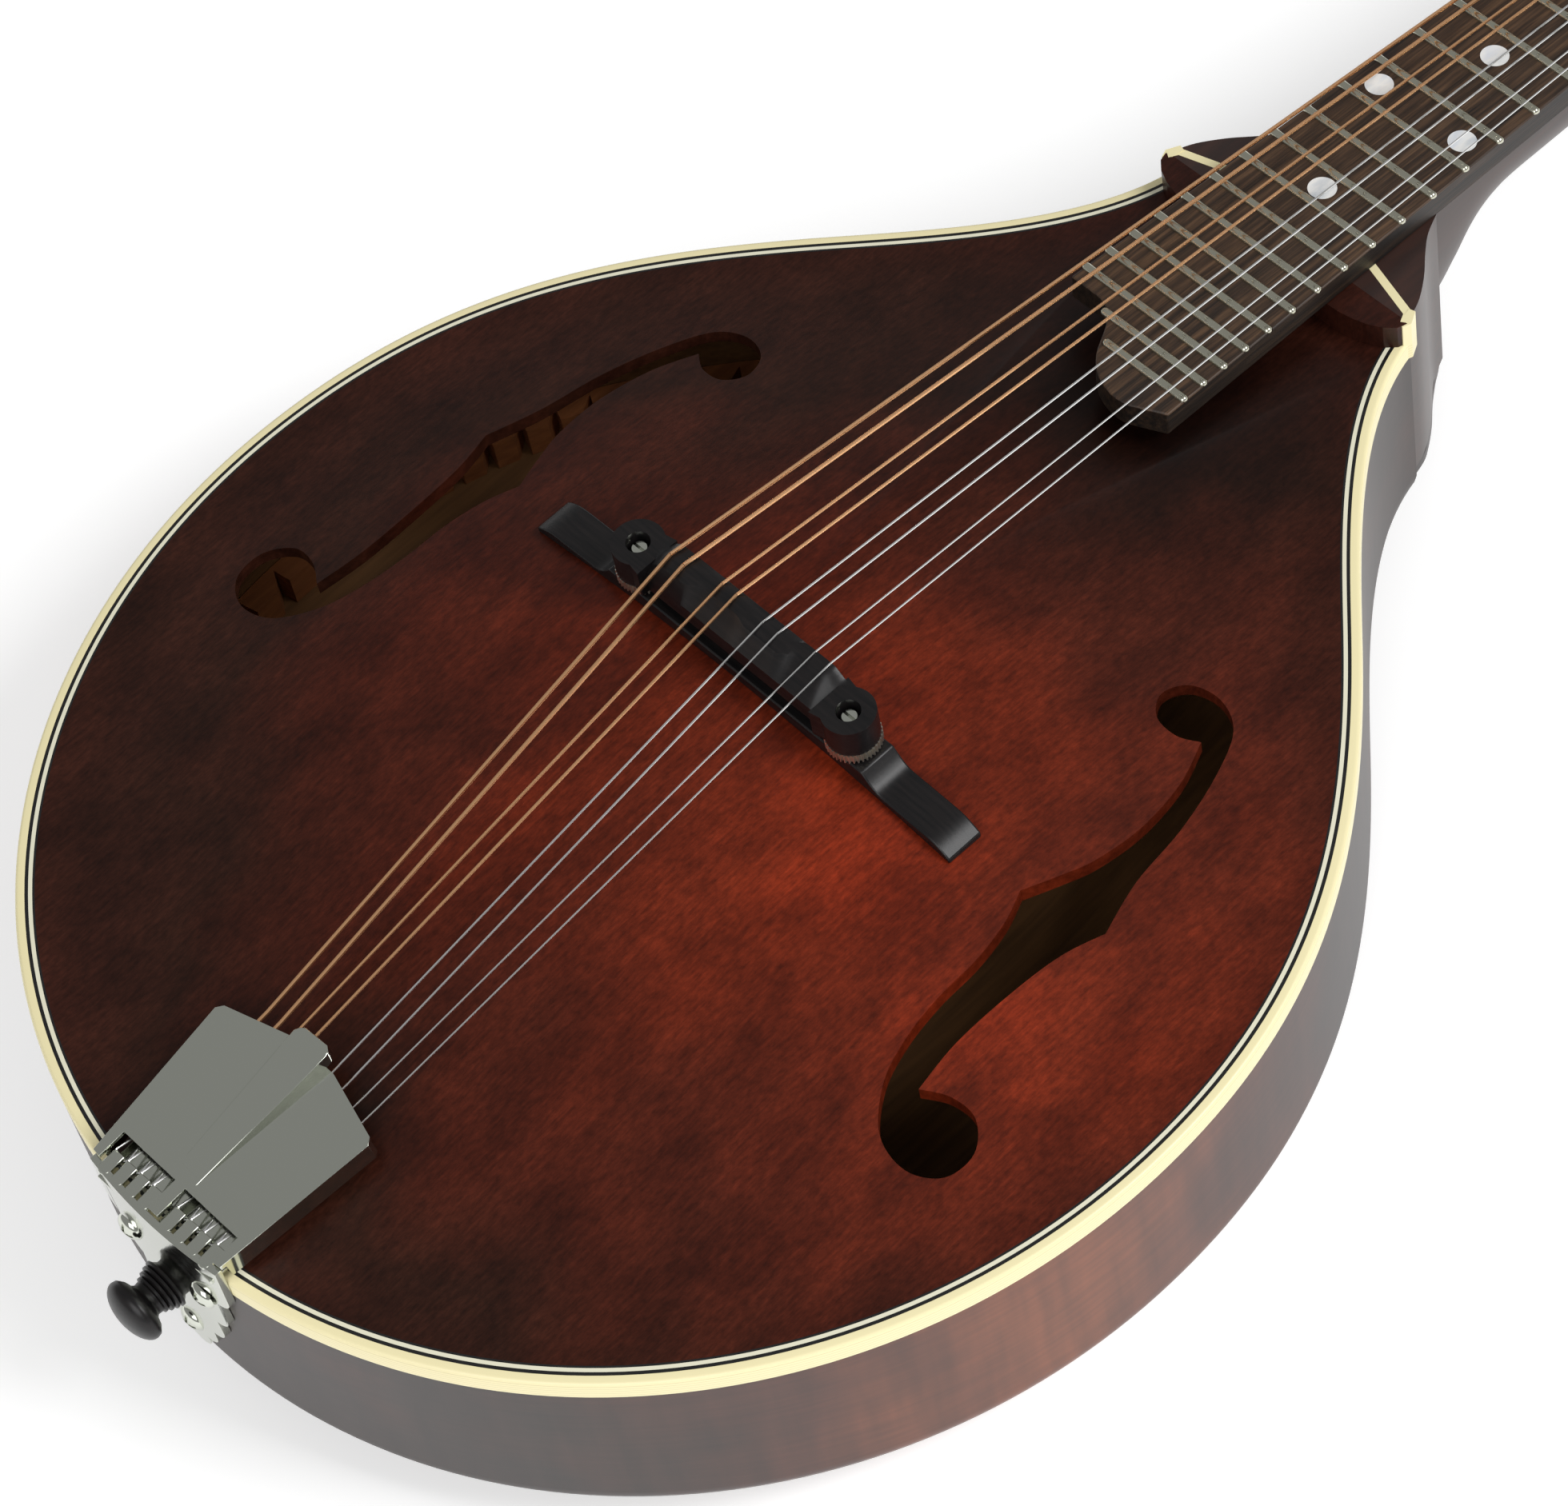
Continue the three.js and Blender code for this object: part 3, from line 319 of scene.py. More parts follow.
def stained_top_with_board_shadow():
    """Red-brown in the middle of the treble side, nearly black at the bass edge; finely mottled; darkened round
    the end of the fingerboard by a painted shadow of the board.
    """
    look = Look("top_wood", roughness=0.36, **{"Specular IOR Level": 0.17})
    at = look.place()
    parts = look.add("SeparateXYZ", {"Vector": at}).outputs
    across = look.math("DIVIDE", look.math("SUBTRACT", parts["X"], 52.0), 102.0)
    along = look.math("DIVIDE", look.math("SUBTRACT", parts["Y"], -22.0), 78.0)
    squares = look.math("ADD", look.math("MULTIPLY", across, across), look.math("MULTIPLY", along, along))
    cloud = look.noise(look.stretched(at, (0.022, 0.016, 0.02)), 1.0, 2)
    reach = look.math("ADD", look.math("SQRT", squares), look.spread(cloud, 0.3, 0.7, -0.22, 0.22))
    top_tone = look.ramp(look.spread(reach, 0.0, 2.0), [
        (0.0, (0.200, 0.0185, 0.0045)),
        (0.22, (0.118, 0.0140, 0.0042)),
        (0.45, (0.056, 0.0090, 0.0038)),
        (0.72, (0.0215, 0.0066, 0.0036)),
        (1.0, (0.032, 0.0080, 0.0045)),
    ])
    # Painted shadow: the top is darkened down to 0.3 round the end of the fingerboard, where the board's shadow
    # falls on it.
    board_shadow_distance = look.add("VectorMath", {0: at, 1: (6.0, 100.0, 12.0)}, operation="DISTANCE").outputs["Value"]
    top_tone = look.dimmed(top_tone, look.spread(board_shadow_distance, 16.0, 52.0, 0.3, 1.0))
    streak = look.noise(look.stretched(at, (1.6, 0.13, 0.4), 4), 1.0, 5, 0.65)
    fleck = look.noise(look.stretched(at, (0.9, 0.45, 0.5), -18), 1.0, 5, 0.7)
    patch = look.noise(look.stretched(at, (0.075, 0.05, 0.05), 30), 1.0, 4, 0.6)
    light = look.spread(streak, 0.3, 0.7, 0.74, 1.26)
    light = look.math("MULTIPLY", light, look.spread(fleck, 0.3, 0.7, 0.66, 1.38))
    light = look.math("MULTIPLY", light, look.spread(patch, 0.3, 0.7, 0.62, 1.42))
    return look.colour(look.dimmed(top_tone, light))


def stained_side():
    """Dark towards the tail and the neck, orange-brown in the middle of each side."""
    look = Look("side_wood", roughness=0.42, **{"Specular IOR Level": 0.5})
    at = look.place()
    parts = look.add("SeparateXYZ", {"Vector": at}).outputs
    away = look.math("ABSOLUTE", look.math("ADD", parts["Y"], 50.0))
    cloud = look.spread(look.noise(at, 0.03, 2), 0.3, 0.7, -0.2, 0.2)
    warmth = look.math("ADD", look.spread(away, 85.0, 5.0), cloud)
    base = look.ramp(warmth, [
        (0.0, (0.020, 0.011, 0.009)),
        (0.5, (0.062, 0.019, 0.011)),
        (1.0, (0.150, 0.042, 0.016)),
    ])
    grain = look.noise(look.stretched(at, (0.05, 0.05, 0.7)), 1.0, 4)
    flame = look.noise(look.stretched(at, (0.22, 0.22, 0.03)), 1.0, 2)
    light = look.spread(grain, 0.3, 0.7, 0.85, 1.15)
    light = look.math("MULTIPLY", light, look.spread(flame, 0.3, 0.7, 0.8, 1.2))
    return look.colour(look.dimmed(base, light))


def stained_neck():
    look = Look("neck_wood", roughness=0.36, **{"Specular IOR Level": 0.55})
    grain = look.noise(look.stretched(look.place(), (0.5, 0.03, 0.5)), 1.0, 4)
    return look.colour(look.ramp(grain, [(0.3, (0.020, 0.010, 0.008)), (0.7, (0.040, 0.016, 0.011))]))


def bare_wood(name, colour, scale=(0.6, 0.05, 0.6)):
    look = Look(name, roughness=0.7)
    grain = look.noise(look.stretched(look.place(), scale), 1.0, 4)
    dark = tuple(0.6 * c for c in colour)
    return look.colour(look.ramp(grain, [(0.3, dark), (0.7, colour)]))


def board_wood():
    look = Look("board_wood", roughness=0.5, **{"Specular IOR Level": 0.4})
    at = look.place()
    streak = look.noise(look.stretched(at, (0.9, 0.03, 0.9)), 1.0, 5, 0.6)
    pore = look.noise(look.stretched(at, (4.0, 0.12, 4.0)), 1.0, 2)
    tones = [(0.32, (0.013, 0.008, 0.0055)), (0.5, (0.046, 0.025, 0.014)), (0.72, (0.12, 0.066, 0.034))]
    base = look.ramp(streak, tones)
    # Painted shade: the board's sides, below its face, are darkened to 0.28 of the face's colour.
    side = look.spread(look.add("SeparateXYZ", {"Vector": at}).outputs["Z"], -0.6, -0.2, 0.28, 1.0)
    light = look.math("MULTIPLY", look.spread(pore, 0.35, 0.6, 0.65, 1.1), side)
    look.bump(pore, 0.0001, 0.5)
    return look.colour(look.dimmed(base, light))


def laminated_binding():
    look = Look("cream_binding", roughness=0.35)
    height = look.add("SeparateXYZ", {"Vector": look.place()}).outputs["Z"]
    layer = look.math("FRACT", look.math("MULTIPLY", height, 1.25))
    line = look.math("LESS_THAN", layer, 0.16)
    line = look.math("MULTIPLY", line, look.math("LESS_THAN", height, -0.5))
    share = look.math("MULTIPLY", line, 0.45)
    return look.colour(look.mix(share, (0.82, 0.74, 0.44, 1), (0.46, 0.38, 0.18, 1)))


def black_wood():
    look = Look("ebony", roughness=0.34, **{"Specular IOR Level": 0.3})
    grain = look.noise(look.stretched(look.place(), (0.08, 1.2, 1.2)), 1.0, 4)
    look.bump(grain, 0.00004, 0.4)
    return look.colour(look.ramp(grain, [(0.3, (0.004, 0.004, 0.0045)), (0.7, (0.011, 0.009, 0.009))]))


def metal(name, colour, roughness):
    return Look(name, roughness=roughness, metallic=1.0).colour(colour)


def pearl():
    look = Look("pearl", roughness=0.18, **{"Coat Weight": 0.5})
    swirl = look.noise(look.stretched(look.place(), (0.28, 0.1, 0.28), 35), 1.0, 3)
    stops = [(0.3, (0.56, 0.60, 0.64)), (0.5, (0.82, 0.82, 0.80)), (0.7, (0.66, 0.70, 0.76))]
    return look.colour(look.ramp(swirl, stops))


MATERIALS = {
    "top_wood": stained_top_with_board_shadow(),
    "side_wood": stained_side(),
    "neck_wood": stained_neck(),
    "inner_maple": bare_wood("inner_maple", (0.36, 0.12, 0.035)),
    "inner_spruce": bare_wood("inner_spruce", (0.50, 0.26, 0.10)),
    "bare_back": bare_wood("bare_back", (0.22, 0.10, 0.032)),
    "cream_binding": laminated_binding(),
    "purfling_ivory": Look("purfling_ivory", roughness=0.4).colour((0.74, 0.72, 0.56)),
    "purfling_black": Look("purfling_black", roughness=0.4).colour((0.006, 0.006, 0.006)),
    "ebony": black_wood(),
    "board_wood": board_wood(),
    "nickel": metal("nickel", (0.60, 0.62, 0.55), 0.12),
    "brass": metal("brass", (0.62, 0.42, 0.26), 0.3),
    "knurled": metal("knurled", (0.72, 0.69, 0.60), 0.35),
    "frets": metal("frets", (0.56, 0.55, 0.45), 0.2),
    "steel": metal("steel", (0.86, 0.86, 0.85), 0.18),
    "bronze": metal("bronze", (0.92, 0.52, 0.27), 0.24),
    "bone": Look("bone", roughness=0.4).colour((0.76, 0.72, 0.58)),
    "pearl": pearl(),
}


def finish_cad_nodes():
    """CAD nodes that stay in sight take their finish from the record."""
    for part in frame["record"]["subparts"]:
        node = frame["nodes"][part["node"]]
        node.data.materials.clear()
        node.data.materials.append(MATERIALS[part["material_slot"]])
        node.data.shade_smooth()
        node.data.set_sharp_from_angle(angle=math.radians(55))
        at = node.data.attributes.new("mm", "FLOAT_VECTOR", "POINT")
        to_mm = INSTRUMENT.inverted()
        for vertex, value in zip(node.data.vertices, at.data):
            value.vector = to_mm @ vertex.co


# ---------------------------------------------------------------- body outline
def curve_points(p0, p1, p2, p3, steps):
    """Points and directions along a cubic curve, without its first point."""
    made = []
    for i in range(1, steps + 1):
        t = i / steps
        weights = ((1 - t) ** 3, 3 * t * (1 - t) ** 2, 3 * t * t * (1 - t), t ** 3)
        slopes = (-3 * (1 - t) ** 2, 3 * (1 - t) * (1 - 3 * t), 3 * t * (2 - 3 * t), 3 * t * t)
        at = [sum(w * p[k] for w, p in zip(weights, (p0, p1, p2, p3))) for k in (0, 1)]
        way = [sum(w * p[k] for w, p in zip(slopes, (p0, p1, p2, p3))) for k in (0, 1)]
        made.append((*at, *way))
    return made


def treble_side():
    """(x, y, outward x, outward y) from the tail to the neck."""
    made = []
    for i in range(61):
        turn = -math.pi / 2 * (1 - i / 60)
        x, y = HALF_WIDTH * math.cos(turn), WIDEST_Y + TAIL_LENGTH * math.sin(turn)
        made.append((x, y, -HALF_WIDTH * math.sin(turn), TAIL_LENGTH * math.cos(turn)))
    made += curve_points((HALF_WIDTH, WIDEST_Y), (HALF_WIDTH, 22.6), (104.6, 52.1), SHOULDER, 44)
    made += curve_points(SHOULDER, (59.1, 99.1), (37.4, 120.4), NECK_END, 30)
    outward = []
    for x, y, tx, ty in made:
        length = math.hypot(tx, ty)
        outward.append((x, y, ty / length, -tx / length))
    return outward


TREBLE = treble_side()


def side_at(distance):
    return [(x + nx * distance, y + ny * distance) for x, y, nx, ny in TREBLE]


def closed_outline(distance):
    treble = [(max(x, 0), min(y, NECK_END[1])) for x, y in side_at(distance)]
    x, y = treble[-1]
    neck_edge = [(x * share, y) for share in (0.5, 0, -0.5)]
    return treble + neck_edge + [(-a, b) for a, b in treble[:0:-1]]


def side_strip(profile, stations=None):
    """A strip round the treble half of the body; its profile is (distance outwards, z)."""
    path = TREBLE if stations is None else stations
    return loft([[(x + nx * d, y + ny * d, z) for d, z in profile] for x, y, nx, ny in path])


def whole_strip(profile):
    """The same strip round both halves, open at the neck."""
    bass = [(-x, y, -nx, ny) for x, y, nx, ny in TREBLE[:0:-1]]
    return side_strip(profile, bass + TREBLE)


# ---------------------------------------------------------------- plates
def rise(share):
    return (1 - min(share / FLAT_EDGE, 1) ** 2) ** 1.5


def top_thickness(share):
    return PLATE if share >= FLAT_EDGE else TOP_CARVED + (PLATE - TOP_CARVED) * rise(share)


def back_face(share):
    """The height of the back's outer face, rounded over at its edge."""
    inset = max(0, BACK_ROUNDING - (1 - share) * HALF_WIDTH) / BACK_ROUNDING
    return BACK_ROUNDING * (1 - math.sqrt(1 - inset ** 2)) - DEPTH - BACK_ARCH * rise(share)


TOP_EDGE = closed_outline(-BINDING_WIDTH)
EDGE_POLAR = sorted((math.atan2(y - ARCH_Y, x), math.hypot(x, y - ARCH_Y)) for x, y in TOP_EDGE)


def top_z(x, y):
    """The height of the top's outer face."""
    angle = math.atan2(y - ARCH_Y, x)
    after = next((i for i, (a, _) in enumerate(EDGE_POLAR) if a > angle), 0)
    (a0, r0), (a1, r1) = EDGE_POLAR[after - 1], EDGE_POLAR[after]
    gap = (a1 - a0) % (2 * math.pi) or 1.0
    edge = r0 + (r1 - r0) * ((angle - a0) % (2 * math.pi)) / gap
    return TOP_ARCH * rise(math.hypot(x, y - ARCH_Y) / edge)


def arched_plate(edge, upper, lower, rings=44):
    shares = sorted({0.02, FLAT_EDGE, 0.982, 0.99, 0.996, 1.0} | {i / rings for i in range(2, rings)})

    def ring(share, height):
        return [(share * x, ARCH_Y + share * (y - ARCH_Y), height(share)) for x, y in edge]

    return loft([ring(s, upper) for s in shares] + [ring(s, lower) for s in reversed(shares)])


def spline(points, steps=7):
    """A smooth line through the points."""
    made = []
    for i in range(len(points) - 1):
        near = [points[max(i - 1, 0)], points[i], points[i + 1], points[min(i + 2, len(points) - 1)]]
        p0, p1, p2, p3 = (Vector(p) for p in near)
        for step in range(steps):
            t = step / steps
            v0, v1 = (p2 - p0) / 2, (p3 - p1) / 2
            made.append(
                (2 * p1 - 2 * p2 + v0 + v1) * t ** 3 + (-3 * p1 + 3 * p2 - 2 * v0 - v1) * t * t + v0 * t + p1
            )
    return [tuple(p) for p in made]


def f_hole():
    lower, outer, upper, inner = (84.8, -45.3), (86.8, 1.2), (70.1, 43.8), (70.1, -4)
    sides = [
        [lower, (83.3, -34), (83.4, -20), (84.4, -8), outer],
        [outer, (83.2, 13), (81, 27), (77.3, 40), (72.5, 50), (66, 53.4), (59.8, 51.5), (57.6, 46),
         (60.7, 41.6), (66, 41.3), upper],
        [upper, (74, 34), (75.8, 22), (75, 11), (73, 4), inner],
        [inner, (72.8, -11), (74.4, -20), (74.8, -30), (76.3, -40), (79.5, -49), (86, -56.5),
         (94, -58), (100, -54), (100.6, -47), (96, -42), (90, -42.2), lower],
    ]
    return [point for side in sides for point in spline(side)]


def build_body():
    hole = prism(f_hole(), -12, 32)

    def top_face(share):
        return TOP_ARCH * rise(share)

    top = arched_plate(TOP_EDGE, top_face, lambda s: top_face(s) - top_thickness(s))
    under = ("bare_back", lambda centre, normal: normal.z < -0.3)
    show("top", cut(top, hole, mirrored(hole)), INSTRUMENT, "top_wood", "top_plate", inside=under, smooth=40)

    inner = PLATE - DEPTH
    back = arched_plate(closed_outline(0), lambda s: inner - BACK_ARCH * rise(s), back_face)
    edge = spline([(33, 139), *SHOULDER_EDGE, (16, 166.5), (9, 170.5), (0, 172)])
    edge += [(-x, y) for x, y in reversed(edge)]
    levels = ((inner, 1), (-46, 1), (-DEPTH, 0.94))
    button = [[(x * s, 150 + (y - 150) * s, z) for x, y in edge] for z, s in levels]
    back = joined(back, loft(button))
    show("back", back, INSTRUMENT, "side_wood", "back_plate", smooth=50,
         inside=("bare_back", lambda centre, normal: normal.z > 0.3 and centre.y < 136))

    rib = side_strip([(0, -BINDING_HEIGHT), (0, inner), (-RIB, inner), (-RIB, -BINDING_HEIGHT)])

    def facing_in(centre, normal):
        return normal.x * centre.x + normal.y * (centre.y - WIDEST_Y) < 0

    for side, solid in (("treble", rib), ("bass", mirrored(rib))):
        show(f"rib_{side}_wood", solid, INSTRUMENT, "side_wood", f"rib_{side}",
             inside=("bare_back", facing_in))
        for level, low in (("top", -PLATE - 8), ("back", inner)):
            name = f"lining_{level}_{side}"
            show(name + "_kerfed", kerfed_lining(low, SIDES[side]), INSTRUMENT, "inner_maple", name)


def kerfed_lining(low, side):
    """A strip that is sawn nearly through at even steps, so that it bends round the body."""
    outer, full, web, tooth = -RIB - 0.3, -RIB - 5.8, -RIB - 1.4, 3
    stations = [s for s in TREBLE if not (abs(s[0]) < 29 and s[1] < -137) and s[1] < 117.7]
    sections = []
    for i, (x, y, nx, ny) in enumerate(stations):
        depths = (web, full) if i % tooth == 0 else (full, full)
        shift = (0.0, 0.35) if i % tooth == 0 else (0.0,)
        for k, depth in zip(shift, depths):
            profile = [(outer, low), (outer, low + 8), (depth, low + 8), (depth, low)]
            at = (x - ny * k, y + nx * k)
            sections.append([(side * (at[0] + nx * d), at[1] + ny * d, z) for d, z in profile])
    return loft(sections)


def build_binding():
    profile = [(0, -BINDING_HEIGHT), (0, -0.8), (-0.15, -0.35), (-0.45, -0.08), (-0.8, 0),
               (-BINDING_WIDTH, 0), (-BINDING_WIDTH, -BINDING_HEIGHT)]
    show("binding_strip", whole_strip(profile), INSTRUMENT, "cream_binding", "binding", smooth=60)
    ridge = [(33.4, 142.2), (32, 144.8), (17.4, 149.3), (17.0, 147.6), (31.0, 143.2), (32.0, 141.3)]
    corner = [(33.2, 139.4), (33.9, 141.2), (32.4, 144), (31, 143.6), (31.8, 139.6)]
    for name, side in SIDES.items():
        strip = prism([(side * x, y) for x, y in ridge], -6.3, -5.98)
        show(f"ridge_strip_{name}", strip, NECK, "cream_binding")
        post = prism([(side * x, y) for x, y in corner], -BINDING_HEIGHT, 6.1)
        show(f"corner_strip_{name}", post, INSTRUMENT, "cream_binding")
    lines = [("outer_black", -2.0, -2.7, "purfling_black"), ("ivory", -2.7, -3.5, "purfling_ivory"),
             ("inner_black", -3.5, -3.95, "purfling_black")]
    for name, start, end, material in lines:
        strip = whole_strip([(start, -0.6), (start, 0.03), (end, 0.03), (end, -0.6)])
        slot = "ebony" if "black" in name else "cream_binding"
        show(f"purfling_{name}", strip, INSTRUMENT, slot, material=material)


# ---------------------------------------------------------------- fingerboard and frets
def board_half(y):
    share = (STRING_LENGTH - y) / (STRING_LENGTH - BOARD_END_Y)
    return HALF_AT_NUT + share * (HALF_AT_END - HALF_AT_NUT)


def board_outline():
    end = [(-12.5, 101)]
    curves = (((-12.5, 101), (-7, 101), (-5, 96), (-2.5, 91.5)),
              ((-2.5, 91.5), (1, 85.5), (8, 83.5), (12.5, 85)))
    for curve in curves:
        end += [(x, y) for x, y, _, _ in curve_points(*curve, 10)]
    return [(-HALF_AT_NUT, STRING_LENGTH), (-board_half(101), 101), *end, (board_half(88.5), 88.5),
            (HALF_AT_NUT, STRING_LENGTH)]


def fret_y(number):
    return STRING_LENGTH * 2 ** (-number / 12)


def fret(number):
    y, half = fret_y(number), board_half(fret_y(number)) + 0.35
    left = {22: -8.6, 23: -2.6}.get(number, -half)
    crown = [(math.cos(a) * 1.0, math.sin(a) * 1.0) for a in (math.pi * i / 8 for i in range(9))]
    stations = [(left, 0.35), (left + 0.35, 0.9), (left + 0.8, 1),
                (half - 0.8, 1), (half - 0.35, 0.9), (half, 0.35)]
    return loft([[(x, y + a * size, b * size - 0.02) for a, b in crown] for x, size in stations])


def build_fingerboard():
    show("board", prism(board_outline(), -BOARD_THICKNESS, 0), NECK, "board_wood", "fingerboard", bevel=0.3)
    frets = merged(*[fret(n + 1) for n in range(FRETS)])
    show("frets", frets, NECK, "nickel", smooth=60, material="frets")
    spots = [(0, n) for n in (5, 7, 10, 15)] + [(-11.4, 12), (11.4, 12)]
    for index, (x, number) in enumerate(spots):
        y = (fret_y(number) + fret_y(number - 1)) / 2
        dot = prism(circle(3, 32, (x, y)), -1, 0.03)
        show(f"position_dot_{index + 1}", dot, NECK, "pearl")


# ---------------------------------------------------------------- neck
# How deep the neck is under the fingerboard, from the heel to the head.
NECK_DEPTHS = [(150, 56), (168, 56), (172, 53.5), (175, 48), (178, 40), (181, 30), (184, 23.5), (188, 19.2),
               (194, 17), (210, 16.6), (280, 15.6), (STRING_LENGTH + 4.8, 14.5)]


def neck_section(y, depth):
    half = board_half(y) - 0.1
    power = 0.8 + 0.3 * max(0, (depth - 16.6) / 39.4)
    ring = []
    for i in range(33):
        angle = math.pi * i / 32
        across = math.copysign(abs(math.cos(angle)) ** power, math.cos(angle))
        point = between(NECK, INSTRUMENT, (half * across, y, -6 - depth * abs(math.sin(angle)) ** power))
        ring.append((point.x, point.y, max(point.z, PLATE - DEPTH + 0.05)))
    return ring


def head_outline():
    half = [(13.2, -6), (13.4, 3)]
    for curve in (((13.4, 3), (15, 13), (27, 14), (30.3, 30)), ((30.3, 30), (32.5, 50), (28.6, 80), (29.2, 104)),
                  ((29.2, 104), (29.8, 118), (20, 122), (0, 128))):
        half += [(x, y) for x, y, _, _ in curve_points(*curve, 14)]
    return half + [(-x, y) for x, y in reversed(half[:-1])]


def build_neck():
    shaft = loft([neck_section(y, depth) for y, depth in spline(NECK_DEPTHS, 6)])
    side = spline([(32.8, 141.05), *SHOULDER_EDGE, (17.6, 166)])
    side += [(17.6, 166), (0, 166)]
    walls = side + [(-x, y) for x, y in reversed(side[:-1])]

    def under_board(x, y):
        return between(NECK, INSTRUMENT, (x, y + 0.6, -6.1)).z

    low = PLATE - DEPTH + 0.05
    shoulder = loft([[(x, y, low) for x, y in walls], [(x, y, under_board(x, y)) for x, y in walls]])
    show("heel_and_shaft", shaft, INSTRUMENT, "side_wood", "neck", smooth=50, material="neck_wood")
    show("heel_shoulder", shoulder, INSTRUMENT, "side_wood", "neck", smooth=40, material="neck_wood")

    pocket = block((-5.5, 1.5, -10.3), (5.5, 21, 30))
    hole = turned([(3.3, -30), (3.3, 30)], "Z")
    holes = [moved(hole, side * POST_X, FIRST_POST_Y + POST_PITCH * row) for side, row in STRING_POSTS]
    head = cut(prism(head_outline(), -13, 0), pocket, *holes)
    show("head_wood", head, HEAD, "side_wood", "neck", smooth=40, bevel=0.6)
    volute = loft([
        [(13.2, -6, 0), (13.2, -6, -9), (7, -6, -14), (-7, -6, -14), (-13.2, -6, -9), (-13.2, -6, 0)],
        [(13.6, 8, 0), (13.6, 8, -12.9), (7, 8, -12.95), (-7, 8, -12.95), (-13.6, 8, -12.9), (-13.6, 8, 0)],
    ])
    show("head_root", cut(volute, pocket), HEAD, "side_wood", "neck", smooth=40)


# ---------------------------------------------------------------- strings
STRINGS = [
    {"radius": 0.44, "hook": -14.4, "lip": -14.6, "crest": -20.3, "crest_y": -4.5, "nut": -10.9, "slot": "bronze"},
    {"radius": 0.44, "hook": -10.7, "lip": -11.0, "crest": -16.6, "crest_y": -4.5, "nut": -8.3, "slot": "bronze"},
    {"radius": 0.33, "hook": -7.0, "lip": -7.1, "crest": -8.0, "crest_y": -2.5, "nut": -4.5, "slot": "bronze"},
    {"radius": 0.33, "hook": -3.3, "lip": -3.6, "crest": -4.1, "crest_y": -2.5, "nut": -2.0, "slot": "bronze"},
    {"radius": 0.22, "hook": 3.3, "lip": 4.2, "crest": 4.1, "crest_y": -3.5, "nut": 2.1, "slot": "steel"},
    {"radius": 0.22, "hook": 7.0, "lip": 8.2, "crest": 8.1, "crest_y": -3.5, "nut": 4.6, "slot": "steel"},
    {"radius": 0.18, "hook": 10.7, "lip": 12.6, "crest": 16.4, "crest_y": -1.5, "nut": 8.5, "slot": "steel"},
    {"radius": 0.18, "hook": 14.4, "lip": 16.2, "crest": 20.4, "crest_y": -1.5, "nut": 11.0, "slot": "steel"},
]
# The post each string winds on: its side, and its row counted from the nut.
STRING_POSTS = [(-1, 0), (-1, 1), (-1, 2), (-1, 3), (1, 3), (1, 2), (1, 1), (1, 0)]
TWIST_Y, LIP_Y, LIP_Z = -142.5, -116.5, 9.3
WAIST, WRAP_Z = 2.4, 9.5


def loop_points(hook_x, z):
    """A wire's end loop: forward from its twist, round the back of a hook and up to the twist again."""
    points = [Vector((hook_x, TWIST_Y, z))]
    for i in range(13):
        angle = math.pi * (i / 12)
        points.append(Vector((hook_x + 1.75 * math.cos(angle), -153.4 - 1.5 * math.sin(angle), z - 0.3)))
    return [*points, points[0]]


def build_strings():
    for index, (string, (side, row)) in enumerate(zip(STRINGS, STRING_POSTS)):
        number, radius = index + 1, string["radius"]
        node, slot = f"string_{number}", string["slot"]
        crest = Vector((string["crest"], string["crest_y"], CREST_Z + radius + 0.1))
        lip = Vector((string["lip"], LIP_Y, LIP_Z))
        twist_z = 4.9
        twist = Vector((string["hook"] + 0.25 * (string["lip"] - string["hook"]), TWIST_Y, twist_z))
        nut = between(NECK, INSTRUMENT, (string["nut"], STRING_LENGTH + 1, 1.2))
        spot = Vector((side * POST_X, FIRST_POST_Y + POST_PITCH * row, 0))
        reach = WAIST + radius + 0.1
        touch = between(HEAD, INSTRUMENT, spot + Vector((-side * reach, 0, WRAP_Z)))

        loop = tube(loop_points(twist.x, twist_z), 0.24)
        show(f"{node}_loop", loop, INSTRUMENT, slot, material="steel")
        sleeve = tube([twist, twist.lerp(lip, 0.22)], min(2 * radius, 0.62), 10)
        show(f"{node}_twist", sleeve, INSTRUMENT, slot, material="steel")

        route = [twist.lerp(lip, t / 4) for t in range(5)]
        route += [lip.lerp(crest, t / 12) for t in range(1, 13)]
        tail = tube(route, radius)
        tail = show(f"{node}_behind", tail, INSTRUMENT, slot, node, body=None)
        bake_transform(tail)
        run = tube([nut.lerp(crest, t / 24) for t in range(25)], radius)
        run = show(f"{node}_run", run, INSTRUMENT, slot, node, body=None)
        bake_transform(run)
        show(f"{node}_end", tube([nut, touch], radius), INSTRUMENT, slot, node)

        turns, steps = (2, 20) if radius > 0.3 else (4, 20)
        wraps = []
        for i in range(turns * steps + 1):
            angle = math.pi * (0.5 + 0.5 * side) + 2 * math.pi * i / steps
            height = WRAP_Z - (i / steps) * 2.05 * radius
            wraps.append(spot + Vector((reach * math.cos(angle), reach * math.sin(angle), height)))
        show(f"{node}_wraps", tube(wraps, radius), HEAD, slot, body=f"post_{number}")


# ---------------------------------------------------------------- bridge
def base_profile(x):
    """The height of the bridge base's upper face."""
    reach = abs(x)
    if reach < 35:
        return 18.2
    if reach < 40:
        t = (reach - 35) / 5
        return 18.2 - 3.9 * math.sin(t * math.pi / 2)
    if reach < 51:
        return 14.3 - 0.5 * (reach - 40) / 11
    return 13.8 - 2.6 * ((reach - 51) / 6.5) ** 2


def build_bridge_base():
    sections = []
    for i in range(93):
        x = -57.5 + 115 * i / 92
        half, top = 4.2, base_profile(x)
        low = [top_z(x, BRIDGE_Y + y) + 0.02 for y in (-half, 0, half)]
        sections.append([
            (x, BRIDGE_Y - half, low[0]), (x, BRIDGE_Y, low[1]), (x, BRIDGE_Y + half, low[2]),
            (x, BRIDGE_Y + half, top), (x, BRIDGE_Y - half, top),
        ])
    show("bridge_foot", loft(sections), INSTRUMENT, "ebony", "bridge_base", bevel=0.35)


